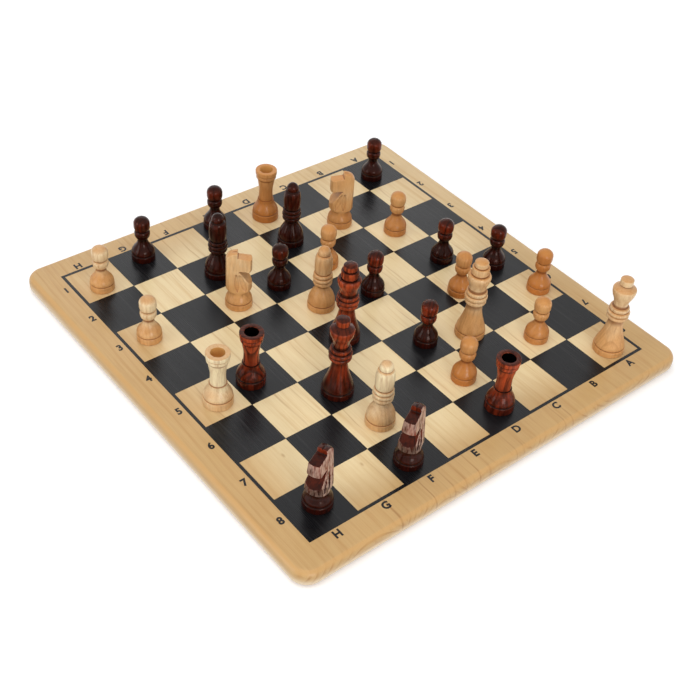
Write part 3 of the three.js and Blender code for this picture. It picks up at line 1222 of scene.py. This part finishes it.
@dataclass(frozen=True)
class King(Piece):
    """King: three rings and a broad head under a drum and a flat knob."""

    stand: Stand = Stand(9.4, 4.0, 9.0, 19.8, 4.7, pull_low=0.14, pull_high=0.5)
    stack: RingStack = RingStack(((6.6, 3.4), (7.0, 3.4), (6.4, 3.0)), seat=5.7)
    waist_radius: float = 5.2
    waist_rise: float = 1.2
    head_radius: float = 7.1
    head_rise: float = 9.0
    brim_top: float = 6.4
    brim_rise: float = 1.6
    drum_neck: float = 4.8
    drum_neck_rise: float = 0.8
    drum_radius: float = 5.3
    drum_rise: float = 4.6
    knob_neck: float = 3.9
    knob_neck_rise: float = 0.6
    knob_radius: float = 4.2
    knob_rise: float = 2.4
    crown_rise: float = 1.4

    def outline(self) -> Outline:
        """Draws the half outline.

        Returns:
            The outline from foot to top.
        """
        return (
            self.stack.draw(self.stand.outline(), self.waist_radius)
            .line_to(self.waist_radius, self.waist_rise)
            .sweep_to(self.head_radius, self.head_rise)
            .line_to(self.brim_top, self.brim_rise, Ease.SOFT)
            .line_to(self.drum_neck, 0.0, Ease.CRISP)
            .line_to(self.drum_neck, self.drum_neck_rise, Ease.CRISP)
            .line_to(self.drum_radius, 0.0, Ease.PLAIN)
            .line_to(self.drum_radius, self.drum_rise, Ease.FULL)
            .line_to(self.knob_neck, 0.0, Ease.CRISP)
            .line_to(self.knob_neck, self.knob_neck_rise, Ease.CRISP)
            .line_to(self.knob_radius, 0.0, Ease.PLAIN)
            .line_to(self.knob_radius, self.knob_rise, Ease.SOFT)
            .dome(self.crown_rise)
        )


@dataclass(frozen=True)
class Leaf:
    """A leaf-shaped hollow in a side flat: its middle, half length, half width and lean in degrees."""

    middle: float
    height: float
    length: float
    width: float
    tilt: float


@dataclass(frozen=True)
class Knight(Piece):
    """Knight: turned like the rest, then sawn out, with its nose along +X."""

    stand: Stand = Stand(8.5, 4.0, 8.2, 6.4, 6.0, groove_depth=0.7)
    flare_rise: float = 2.6
    body_radius: float = 8.0
    body_rise: float = 21.8
    crown_rise: float = 4.7
    ear_half_width: float = 2.8
    ear_length: float = 7.2
    ear_rise: float = 3.5
    forehead_drop: float = 1.0
    mouth_depth: float = 8.0
    mouth_drop: float = 9.2
    lip_drop: float = 0.4
    chest_drop: float = 10.0
    overcut: float = 5.0
    tenon: float = 0.8
    skin_grain: float = 0.3
    soft_rounds: int = 5
    soft_share: float = 0.5
    leaves: tuple[Leaf, ...] = (Leaf(-1.0, 19.6, 6.4, 1.5, 3.0), Leaf(2.5, 19.8, 6.2, 1.7, 20.0))
    leaf_depth: float = 1.1
    parting_half_width: float = 0.7
    parting_depth: float = 1.0
    leaf_round: int = 20
    leaf_rows: int = 12
    flat_facing: float = 0.8
    flat_margin: float = 0.25
    front_share: float = 0.55
    front_facing: float = 0.5
    chest_share: float = 0.7
    nose_sheen: float = 0.7
    chest_sheen: float = 0.3

    def outline(self) -> Outline:
        """Draws the half outline of the stand alone, closed at the neck.

        Returns:
            The outline from foot to neck.
        """
        return self.stand.outline().line_to(0.0, 0.0)

    def head_outline(self) -> Outline:
        """Draws the half outline of the head before it is sawn.

        Returns:
            The outline from just inside the neck to the top.
        """
        return (
            Outline(self.waist - self.tenon)
            .line_to(self.stand.neck_radius, 0.0)
            .line_to(self.stand.neck_radius, self.tenon)
            .sweep_to(self.body_radius, self.flare_rise)
            .line_to(self.body_radius, self.body_rise)
            .dome(self.crown_rise)
        )

    @property
    def waist(self) -> float:
        """Height of the neck above the foot."""
        return self.stand.foot_height + self.stand.groove_width + self.stand.bell_rise

    @property
    def top(self) -> float:
        """Height of the crown."""
        return self.waist + self.flare_rise + self.body_rise + self.crown_rise

    @property
    def lean(self) -> float:
        """How much each side flat comes in for each millimetre up."""
        return (self.stand.neck_radius - self.ear_half_width) / (self.top - self.waist)

    def half_width(self, height: float) -> float:
        """Gives half the width between the side flats.

        Args:
            height: Height above the foot.

        Returns:
            The half width.
        """
        return self.stand.neck_radius - self.lean * (height - self.waist)

    def cutters(self) -> list[bmesh.types.BMesh]:
        """Makes the solids that are taken away.

        Returns:
            Closed meshes in millimetres.
        """
        reach = self.body_radius + self.overcut
        above = self.top + self.overcut
        flats = [
            (self.stand.neck_radius, self.waist),
            (reach, self.waist),
            (reach, above),
            (self.half_width(above), above),
        ]
        ear_front = self.ear_length - self.body_radius
        ear_foot = self.top - self.ear_rise
        slope = self.forehead_drop / (self.body_radius - ear_front)
        forehead = [
            (ear_front, above),
            (ear_front, ear_foot),
            (reach, ear_foot - slope * (reach - ear_front)),
            (reach, above),
        ]
        corner = self.body_radius - self.mouth_depth
        corner_height = ear_foot - self.mouth_drop
        stretch = (reach - corner) / self.mouth_depth
        mouth = [
            (corner, corner_height),
            (reach, corner_height - stretch * self.chest_drop),
            (reach, corner_height - stretch * self.lip_drop),
        ]
        upright = Matrix.Rotation(math.pi / 2, 4, "X")
        quarter = Matrix.Rotation(math.pi / 2, 4, "Z")
        out = [
            prism(flats, 2 * reach, quarter @ upright),
            prism(flats, 2 * reach, quarter.inverted() @ upright),
            prism(forehead, 2 * reach, upright),
            prism(mouth, 2 * reach, upright),
        ]
        for side in (-1, 1):
            out += [self.scoop(side, leaf) for leaf in self.leaves]
        spread = self.parting_half_width * (1 + self.overcut / self.parting_depth)
        parting = [(0.0, self.top - self.parting_depth), (spread, above), (-spread, above)]
        out.append(prism(parting, 2 * reach, quarter @ upright))
        return out

    def scoop(self, side: int, leaf: Leaf) -> bmesh.types.BMesh:
        """Makes the cutter of one leaf-shaped hollow in a side flat.

        Args:
            side: Which flat, -1 or 1.
            leaf: The hollow.

        Returns:
            A long ball in millimetres.
        """
        bm = bmesh.new()
        bmesh.ops.create_uvsphere(bm, u_segments=self.leaf_round, v_segments=self.leaf_rows, radius=1.0)
        bmesh.ops.scale(bm, vec=(leaf.width, self.leaf_depth, leaf.length), verts=bm.verts[:])
        turn = Matrix.Rotation(-math.radians(leaf.tilt), 4, "Y")
        lean = Matrix.Rotation(side * math.atan(self.lean), 4, "X")
        spot = Matrix.Translation((leaf.middle, side * self.half_width(leaf.height), leaf.height))
        bmesh.ops.transform(bm, matrix=spot @ lean @ turn, verts=bm.verts[:])
        return bm

    def build(self) -> bpy.types.Mesh:
        """Makes the piece on its own, standing on the origin, with its nose along +X.

        Returns:
            The mesh, in metres.
        """
        head = object_from(self.head_outline().turn(self.steps), "knight_head")
        helpers = [object_from(bm, "knight_cutter") for bm in self.cutters()]
        for helper in helpers:
            cut = head.modifiers.new("cut", "BOOLEAN")
            cut.operation = "DIFFERENCE"
            cut.solver = "MANIFOLD"
            cut.object = helper
        skin = head.modifiers.new("skin", "REMESH")
        skin.mode = "VOXEL"
        skin.voxel_size = self.skin_grain
        soften = head.modifiers.new("soften", "SMOOTH")
        soften.factor = self.soft_share
        soften.iterations = self.soft_rounds
        carved = finished(head)
        for helper in [head, *helpers]:
            bpy.data.objects.remove(helper)
        bm = self.outline().turn(self.steps)
        bm.from_mesh(carved)
        mesh = mesh_from(bm, "knight", TO_METRES)
        self.mark_sawn(mesh)
        return mesh

    def mark_sawn(self, mesh: bpy.types.Mesh) -> None:
        """Marks the side flats, and partly the fronts of nose and chest, so that the finish can tell them
        from turned wood and paint a pale sheen of reflected light on them.

        Args:
            mesh: The finished mesh, in metres.
        """
        sawn = []
        brow = self.top - self.ear_rise - self.forehead_drop
        lip = self.top - self.ear_rise - self.mouth_drop
        for polygon in mesh.polygons:
            centre = polygon.center / MM
            inside = centre.xy.length < self.body_radius - self.flat_margin
            flat = inside and abs(polygon.normal.y) > self.flat_facing
            upright = abs(polygon.normal.z) < self.front_facing
            front = upright and centre.x > self.front_share * self.body_radius
            nose = front and lip < centre.z < brow
            chest = front and centre.z < lip - self.chest_share * self.chest_drop
            share = 1.0 if flat else self.nose_sheen if nose else self.chest_sheen if chest else 0.0
            sawn.append(share if centre.z > self.waist else 0.0)
        tag(mesh, "sawn", sawn, domain="FACE")


def everything(bm: bmesh.types.BMesh) -> list[bmesh.types.BMVert | bmesh.types.BMEdge | bmesh.types.BMFace]:
    """Gives all of a mesh, for operators that take any of it.

    Args:
        bm: The mesh.

    Returns:
        Its corners, edges and faces.
    """
    return bm.verts[:] + bm.edges[:] + bm.faces[:]


def thicken(bm: bmesh.types.BMesh, depth: float) -> None:
    """Makes a flat drawing into a solid, straight up.

    Args:
        bm: The drawing.
        depth: How deep the solid is.
    """
    grown = bmesh.ops.extrude_face_region(bm, geom=bm.faces[:])
    raised = [part for part in grown["geom"] if isinstance(part, bmesh.types.BMVert)]
    bmesh.ops.translate(bm, verts=raised, vec=(0.0, 0.0, depth))
    bmesh.ops.recalc_face_normals(bm, faces=bm.faces[:])


def prism(corners: list[tuple[float, float]], depth: float, matrix: Matrix) -> bmesh.types.BMesh:
    """Makes a prism from a drawn outline, with its depth centred on the drawing.

    Args:
        corners: The outline's corners.
        depth: How deep it is.
        matrix: Where it goes.

    Returns:
        A closed mesh.
    """
    bm = bmesh.new()
    bm.faces.new([bm.verts.new((x, y, -depth / 2)) for x, y in corners])
    thicken(bm, depth)
    bmesh.ops.transform(bm, matrix=matrix, verts=bm.verts[:])
    return bm


def mesh_from(bm: bmesh.types.BMesh, name: str, matrix: Matrix = Matrix()) -> bpy.types.Mesh:
    """Makes a mesh from one under construction, and frees that.

    Args:
        bm: The mesh under construction.
        name: The mesh's name.
        matrix: What it is moved and scaled by.

    Returns:
        The mesh.
    """
    mesh = bpy.data.meshes.new(name)
    bm.to_mesh(mesh)
    bm.free()
    mesh.transform(matrix)
    return mesh


def object_from(bm: bmesh.types.BMesh, name: str, matrix: Matrix = Matrix()) -> bpy.types.Object:
    """Makes an object from a mesh under construction, and frees that.

    Args:
        bm: The mesh under construction.
        name: The object's name.
        matrix: What the mesh is moved and scaled by.

    Returns:
        The object, in the scene.
    """
    obj = bpy.data.objects.new(name, mesh_from(bm, name, matrix))
    bpy.context.scene.collection.objects.link(obj)
    return obj


def finished(obj: bpy.types.Object) -> bpy.types.Mesh:
    """Gives an object's mesh with its modifiers applied.

    Args:
        obj: The object, in the scene.

    Returns:
        A mesh of its own.
    """
    bpy.context.view_layer.update()
    return bpy.data.meshes.new_from_object(obj.evaluated_get(bpy.context.evaluated_depsgraph_get()))


def tag(
    mesh: bpy.types.Mesh, name: str, values: list[float], kind: str = "FLOAT", domain: str = "POINT"
) -> None:
    """Writes values into a mesh for its finish to read.

    Args:
        mesh: The mesh.
        name: The attribute's name.
        values: One value for each corner or face, or three for vectors.
        kind: The attribute's type.
        domain: What the values belong to.
    """
    layer = mesh.attributes.new(name, kind, domain)
    layer.data.foreach_set("vector" if kind == "FLOAT_VECTOR" else "value", values)


def smooth(mesh: bpy.types.Mesh, angle: float) -> None:
    """Shades a mesh smooth, with sharp edges where it turns more than an angle.

    Args:
        mesh: The mesh.
        angle: The angle in degrees.
    """
    mesh.shade_smooth()
    mesh.set_sharp_from_angle(angle=math.radians(angle))


def bending(mesh: bpy.types.Mesh) -> list[float]:
    """Finds how sharply a mesh bends at each corner.

    Args:
        mesh: The mesh, in metres.

    Returns:
        The strongest bend per millimetre at each corner, above nought on ridges and below it in grooves.
    """
    bm = bmesh.new()
    bm.from_mesh(mesh)
    out = [0.0] * len(bm.verts)
    for edge in bm.edges:
        if len(edge.link_faces) != 2:
            continue
        first, second = (face.calc_center_median() for face in edge.link_faces)
        bend = edge.calc_face_angle_signed(0.0) / max((first - second).length / MM, LEAST_REACH)
        for vert in edge.verts:
            if abs(bend) > abs(out[vert.index]):
                out[vert.index] = bend
    spread = list(out)
    for edge in bm.edges:
        first, second = (vert.index for vert in edge.verts)
        spread[first] = min(spread[first], GROOVE_SPREAD * out[second])
        spread[second] = min(spread[second], GROOVE_SPREAD * out[first])
    bm.free()
    return spread


@dataclass(frozen=True)
class Board:
    """The pine board: glued staves with rounded edges, the black print and its coordinates."""

    corner_radius: float = 11.0
    corner_steps: int = 12
    edge_round: float = 4.0
    edge_steps: int = 8
    sharp_angle: float = 40.0
    joints: tuple[float, ...] = (-77.4, -31.4, 14.6, 68.6)
    piths: tuple[tuple[float, float], ...] = (
        (-101.0, -22.0), (-52.0, -7.0), (-16.0, -46.0), (46.0, -9.0), (92.0, 38.0),
    )
    ink_spread: float = 0.15
    line_width: float = 2.0
    letter_height: float = 4.7
    capital_share: float = 0.7
    letter_weight: float = 0.28
    letter_steps: int = 4
    label_gap: float = 4.6
    label_stretch: float = 1.012
    front_shift: float = -0.55
    back_shift: float = -1.5
    side_shift: float = 3.0

    def panel(self) -> bmesh.types.BMesh:
        """Makes the whole rounded panel.

        Returns:
            A closed mesh in millimetres.
        """
        bm = bmesh.new()
        bmesh.ops.create_cube(bm, size=1.0)
        size = Vector((BOARD_SIDE, BOARD_SIDE, BOARD_THICKNESS))
        bmesh.ops.scale(bm, vec=size, verts=bm.verts[:])
        bmesh.ops.translate(bm, vec=(0.0, 0.0, BOARD_THICKNESS / 2), verts=bm.verts[:])
        upright = [edge for edge in bm.edges if not self.is_level(edge)]
        self.round_off(bm, upright, self.corner_radius, self.corner_steps)
        rims = [edge for edge in bm.edges if self.is_level(edge)]
        self.round_off(bm, rims, self.edge_round, self.edge_steps)
        return bm

    @staticmethod
    def is_level(edge: bmesh.types.BMEdge) -> bool:
        """Tells the edges round a face of the panel from its upright ones.

        Args:
            edge: The edge.

        Returns:
            Whether both ends are equally high.
        """
        return math.isclose(edge.verts[0].co.z, edge.verts[1].co.z, abs_tol=LEVEL_GAP)

    @staticmethod
    def round_off(
        bm: bmesh.types.BMesh, edges: list[bmesh.types.BMEdge], radius: float, segments: int
    ) -> None:
        """Rounds edges.

        Args:
            bm: The mesh.
            edges: The edges to round.
            radius: The radius.
            segments: Facets over the round.
        """
        bmesh.ops.bevel(
            bm, geom=edges, offset=radius, offset_type="OFFSET", affect="EDGES", segments=segments,
            profile=0.5, clamp_overlap=False, material=-1,
        )

    def staves(self) -> list[bpy.types.Object]:
        """Makes the staves.

        Returns:
            One object per stave, from the -X side.
        """
        half = BOARD_SIDE / 2
        limits = (-half, *self.joints, half)
        out = []
        for i, pith in enumerate(self.piths):
            bm = self.panel()
            if i > 0:
                self.part_off(bm, limits[i], -1.0)
            if i < len(self.joints):
                self.part_off(bm, limits[i + 1], 1.0)
            obj = object_from(bm, f"pine_stave_{i + 1}", TO_METRES)
            heart = [pith[0] * MM, 0.0, pith[1] * MM]
            tag(obj.data, "pith", heart * len(obj.data.vertices), "FLOAT_VECTOR")
            smooth(obj.data, self.sharp_angle)
            out.append(obj)
        return out

    @staticmethod
    def part_off(bm: bmesh.types.BMesh, x: float, side: float) -> None:
        """Cuts the panel along a glue joint and closes the cut.

        Args:
            bm: The panel.
            x: Where the joint is.
            side: Which side is taken away, -1 or 1.
        """
        found = bmesh.ops.bisect_plane(
            bm, geom=everything(bm), plane_co=(x, 0.0, 0.0), plane_no=(side, 0.0, 0.0), clear_outer=True
        )
        edges = [part for part in found["geom_cut"] if isinstance(part, bmesh.types.BMEdge)]
        bmesh.ops.edgeloop_fill(bm, edges=edges)
        bmesh.ops.recalc_face_normals(bm, faces=bm.faces[:])

    def print_sheet(self) -> bpy.types.Object:
        """Makes the dark squares and the frame line.

        Returns:
            One thin object.
        """
        outer = (FIELD + self.line_width) / 2
        inner = (FIELD - self.line_width) / 2
        starts = [max(i * SQUARE - FIELD / 2 + self.ink_spread, -inner) for i in range(SQUARES)]
        ends = [min((i + 1) * SQUARE - FIELD / 2 - self.ink_spread, inner) for i in range(SQUARES)]
        bm = bmesh.new()
        bmesh.ops.create_grid(bm, x_segments=1, y_segments=1, size=outer)
        for line in starts + ends:
            for normal in ((1.0, 0.0, 0.0), (0.0, 1.0, 0.0)):
                place = Vector(normal) * line
                bmesh.ops.bisect_plane(bm, geom=everything(bm), plane_co=place, plane_no=normal)
        windows = []
        for face in bm.faces:
            centre = face.calc_center_median()
            column = [i for i in range(SQUARES) if starts[i] < centre.x < ends[i]]
            row = [i for i in range(SQUARES) if starts[i] < centre.y < ends[i]]
            if column and row and (column[0] + row[0]) % 2:
                windows.append(face)
        bmesh.ops.delete(bm, geom=windows, context="FACES")
        thicken(bm, PRINT_THICKNESS)
        return object_from(bm, "printed_squares", ONTO_FACE)

    def coordinates(self) -> bpy.types.Object:
        """Makes the letters and numbers round the field.

        Returns:
            One thin object.
        """
        near = FIELD / 2 + self.label_gap
        bm = bmesh.new()
        for i in range(SQUARES):
            middle = (i - (SQUARES - 1) / 2) * SQUARE
            along = middle * self.label_stretch
            letter = FILES_FROM_LEFT[i]
            number = str(SQUARES - i)
            self.write(bm, letter, Vector((along + self.front_shift, -near, 0.0)), 0.0)
            self.write(bm, letter, Vector((along + self.back_shift, near, 0.0)), math.pi)
            self.write(bm, number, Vector((-near, middle + self.side_shift, 0.0)), 0.0)
            self.write(bm, number, Vector((near, middle + self.side_shift, 0.0)), math.pi)
        return object_from(bm, "printed_coordinates", ONTO_FACE)

    def write(self, bm: bmesh.types.BMesh, text: str, centre: Vector, turn: float) -> None:
        """Adds one printed character.

        Args:
            bm: The mesh that it joins.
            text: The character.
            centre: Where its middle goes.
            turn: How far it is turned, in radians.
        """
        curve = bpy.data.curves.new("character", "FONT")
        curve.body = text
        curve.size = self.letter_height / self.capital_share
        curve.offset = self.letter_weight
        curve.extrude = PRINT_THICKNESS / 2
        curve.resolution_u = self.letter_steps
        obj = bpy.data.objects.new("character", curve)
        bpy.context.scene.collection.objects.link(obj)
        mesh = finished(obj)
        low = Vector([min(v.co[k] for v in mesh.vertices) for k in range(3)])
        high = Vector([max(v.co[k] for v in mesh.vertices) for k in range(3)])
        middle = (low + high) / 2
        lift = Matrix.Translation(centre + Vector((0.0, 0.0, PRINT_THICKNESS / 2)))
        mesh.transform(lift @ Matrix.Rotation(turn, 4, "Z") @ Matrix.Translation(-middle))
        bm.from_mesh(mesh)
        bpy.data.objects.remove(obj)
        bpy.data.curves.remove(curve)
        bpy.data.meshes.remove(mesh)

    def dress(self) -> None:
        """Builds the board, gives it its finishes and sets it on its body."""
        pine = PineFinish().material()
        ink = InkFinish().material()
        for i, stave in enumerate(self.staves()):
            put(stave, pine, BOARD_BODY, Slot.PINE, f"stave_{i + 1}")
        put(self.print_sheet(), ink, BOARD_BODY, Slot.INK, "black_print")
        put(self.coordinates(), ink, BOARD_BODY, Slot.INK)


def put(obj: bpy.types.Object, material: bpy.types.Material, body: str, slot: Slot, *nodes: str) -> None:
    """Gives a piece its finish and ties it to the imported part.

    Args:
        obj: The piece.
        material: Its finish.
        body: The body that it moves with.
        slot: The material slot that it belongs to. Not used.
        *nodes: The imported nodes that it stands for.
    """
    obj.data.materials.clear()
    obj.data.materials.append(material)
    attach(obj, body)
    if nodes:
        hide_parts(*nodes)
    LOG.info("%s: %d faces, on %s", obj.name, len(obj.data.polygons), body)


SHAPES: dict[str, Piece] = {
    "pawn": Pawn(),
    "rook": Rook(),
    "knight": Knight(),
    "bishop": Bishop(),
    "queen": Queen(),
    "king": King(),
}

# Which way each knight looks, in degrees from +X.
HEADINGS = {
    "light_knight_1": 152.0,
    "light_knight_2": -38.0,
    "dark_knight_1": -154.0,
    "dark_knight_2": -157.0,
}

# How deep each piece's wood is, from pale to deep, in the order of the pieces' numbers. Partly the wood's own
# colour, partly painted light: pieces near the board's front edges are paler where light washes them out, and
# some dark pieces are paler where highlights fall.
WOOD_DEPTH_AND_LIGHT = {
    "light_pawn": (0.2, 0.15, 0.58, 0.65, 0.71, 0.88, 0.58, 0.75),
    "light_rook": (0.74, 0.0),
    "light_knight": (0.42, 0.34),
    "light_bishop": (0.36, 0.05),
    "light_queen": (0.27,),
    "light_king": (0.34,),
    "dark_pawn": (0.74, 0.8, 0.76, 0.85, 0.6, 0.7, 0.73, 0.5),
    "dark_rook": (0.12, 0.1),
    "dark_knight": (0.61, 0.68),
    "dark_bishop": (0.95, 0.88),
    "dark_queen": (0.3,),
    "dark_king": (0.13,),
}


@dataclass(frozen=True)
class ChessMen:
    """The pieces of both sides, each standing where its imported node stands."""

    turn_step: float = 47.0
    sharp_angle: float = 32.0
    groove_shade_from: float = 0.35
    ridge_highlight_from: float = 0.6

    def dress(self, nodes: list[str]) -> None:
        """Builds every piece in place of its node.

        Args:
            nodes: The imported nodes' names.
        """
        finishes = {tone: finish.material() for tone, finish in FINISHES.items()}
        blanks = {kind: shape.build() for kind, shape in SHAPES.items()}
        for i, node in enumerate(nodes):
            side, kind, *number = node.split("_")
            tone = Tone(side)
            mesh = blanks[kind].copy()
            low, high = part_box(node)
            foot = Vector(((low.x + high.x) / 2, (low.y + high.y) / 2, low.z))
            turn = Matrix.Rotation(math.radians(HEADINGS.get(node, self.turn_step * i)), 4, "Z")
            mesh.transform(Matrix.Translation(foot) @ turn)
            self.mark(mesh, foot, WOOD_DEPTH_AND_LIGHT[f"{side}_{kind}"][int(number[0]) - 1 if number else 0])
            smooth(mesh, self.sharp_angle)
            obj = bpy.data.objects.new(f"turned_{node}", mesh)
            bpy.context.scene.collection.objects.link(obj)
            put(obj, finishes[tone], node, FINISHES[tone].slot, node)
        for mesh in blanks.values():
            bpy.data.meshes.remove(mesh)

    def mark(self, mesh: bpy.types.Mesh, foot: Vector, tint: float) -> None:
        """Writes what the finish needs to know of a piece into its mesh.

        Args:
            mesh: The piece's mesh.
            foot: The middle of its foot.
            tint: How deep its wood is, from pale to deep, partly painted light.
        """
        if "sawn" not in mesh.attributes:
            mesh.attributes.new("sawn", "FLOAT", "FACE")
        count = len(mesh.vertices)
        bends = bending(mesh)
        tag(mesh, "foot", list(foot) * count, "FLOAT_VECTOR")
        tag(mesh, "tint", [tint] * count)
        tag(mesh, "groove", [min(max(-bend - self.groove_shade_from, 0.0), 1.0) for bend in bends])
        tag(mesh, "ridge", [min(max(bend - self.ridge_highlight_from, 0.0), 1.0) for bend in bends])


@dataclass(frozen=True)
class Lamp:
    """A soft box that faces the board."""

    name: str
    place: Triple
    size: tuple[float, float]
    watts: float
    mirrored: bool = True
    aim: Triple = (0.0, 0.0, 0.02)

    def hang(self) -> None:
        """Puts the lamp into the scene."""
        data = bpy.data.lights.new(self.name, "AREA")
        data.shape = "RECTANGLE"
        data.size, data.size_y = self.size
        data.energy = self.watts
        obj = bpy.data.objects.new(self.name, data)
        obj.visible_glossy = self.mirrored
        towards = (Vector(self.aim) - Vector(self.place)).to_track_quat("-Z", "Y")
        obj.matrix_world = Matrix.Translation(self.place) @ towards.to_matrix().to_4x4()
        bpy.context.scene.collection.objects.link(obj)


@dataclass(frozen=True)
class Studio:
    """Camera, soft light and a white floor. The eye is in squares from the middle of the board's face."""

    eye: Triple = (-11.50531, -12.73141, 14.47105)
    right: Triple = (0.77771, -0.62469, 0.07016)
    up: Triple = (0.37937, 0.55541, 0.74)
    back: Triple = (-0.50124, -0.54889, 0.66894)
    focal_share: float = 1153.84 / 700
    sensor: float = 36.0
    clip_start: float = 0.01
    world_strength: float = 0.32
    floor_size: float = 6.0
    floor_colour: Colour = (0.8, 0.8, 0.8, 1.0)
    floor_roughness: float = 0.9
    floor_glow: Ramp = Ramp(0.16, 0.6, 0.3, 1.0)
    lamps: tuple[Lamp, ...] = (
        Lamp("top_box", (-0.25, -0.05, 1.4), (1.6, 1.6), 14.6, mirrored=False),
        Lamp("front_panel", (-0.35, -1.15, 0.4), (0.45, 0.5), 5.0),
        Lamp("left_panel", (-1.15, 0.25, 0.4), (0.45, 0.5), 2.4),
        Lamp("back_panel", (0.55, 1.1, 0.9), (1.3, 0.7), 2.4),
    )

    def camera(self) -> None:
        """Sets the camera where the photograph was taken."""
        data = bpy.data.cameras.new("camera")
        data.sensor_width = self.sensor
        data.lens = self.sensor * self.focal_share
        data.clip_start = self.clip_start
        obj = bpy.data.objects.new("camera", data)
        place = Vector(self.eye) * SQUARE * MM + Vector((0.0, 0.0, BOARD_THICKNESS * MM))
        axes = Matrix((self.right, self.up, self.back)).transposed().to_4x4()
        obj.matrix_world = Matrix.Translation(place) @ axes
        bpy.context.scene.collection.objects.link(obj)
        bpy.context.scene.camera = obj

    @staticmethod
    def seen(tree: bpy.types.NodeTree) -> Socket:
        """Tells rays that show the surroundings from rays that light the board.

        Args:
            tree: The nodes to add to.

        Returns:
            One for what the camera sees straight or in a reflection, else nought.
        """
        path = tree.nodes.new("ShaderNodeLightPath")
        shown = path.outputs["Is Camera Ray"]
        for kind in ("Is Glossy Ray", "Is Transmission Ray"):
            either = tree.nodes.new("ShaderNodeMath")
            either.operation = "MAXIMUM"
            tree.links.new(shown, either.inputs[0])
            tree.links.new(path.outputs[kind], either.inputs[1])
            shown = either.outputs[0]
        return shown

    def world(self) -> None:
        """Makes the white surroundings, which the camera sees at full white."""
        world = bpy.data.worlds.new("world")
        world.use_nodes = True
        tree = world.node_tree
        tree.nodes.clear()
        output = tree.nodes.new("ShaderNodeOutputWorld")
        back = tree.nodes.new("ShaderNodeBackground")
        level = tree.nodes.new("ShaderNodeMapRange")
        level.inputs["To Min"].default_value = self.world_strength
        level.inputs["To Max"].default_value = 1.0
        tree.links.new(self.seen(tree), level.inputs["Value"])
        tree.links.new(level.outputs[0], back.inputs["Strength"])
        tree.links.new(back.outputs[0], output.inputs["Surface"])
        back.inputs["Color"].default_value = WHITE
        bpy.context.scene.world = world

    def floor(self) -> None:
        """Lays the white floor, which keeps the board's shadow."""
        bm = bmesh.new()
        bmesh.ops.create_grid(bm, x_segments=1, y_segments=1, size=self.floor_size)
        obj = object_from(bm, "floor")
        g = Graph("floor_white")
        g.set("Base Color", self.floor_colour)
        g.set("Roughness", self.floor_roughness)
        g.set("Specular IOR Level", 0.0)
        g.set("Emission Color", WHITE)
        away = g.fade(g.vector("LENGTH", g.place()), self.floor_glow)
        g.set("Emission Strength", g.times(self.seen(g.tree), away))
        obj.data.materials.append(g.material)

    def dress(self) -> None:
        """Sets up the whole studio."""
        bpy.context.scene.view_settings.view_transform = "Standard"
        self.camera()
        self.world()
        self.floor()
        for lamp in self.lamps:
            lamp.hang()


def main() -> None:
    """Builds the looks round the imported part."""
    logging.basicConfig(level=logging.INFO, format="%(name)s: %(message)s")
    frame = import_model()
    men = [n for n in frame["nodes"] if n.split("_")[0] in {tone.value for tone in Tone}]
    Board().dress()
    ChessMen().dress(sorted(men))
    Studio().dress()


if __name__ == "__main__":
    main()
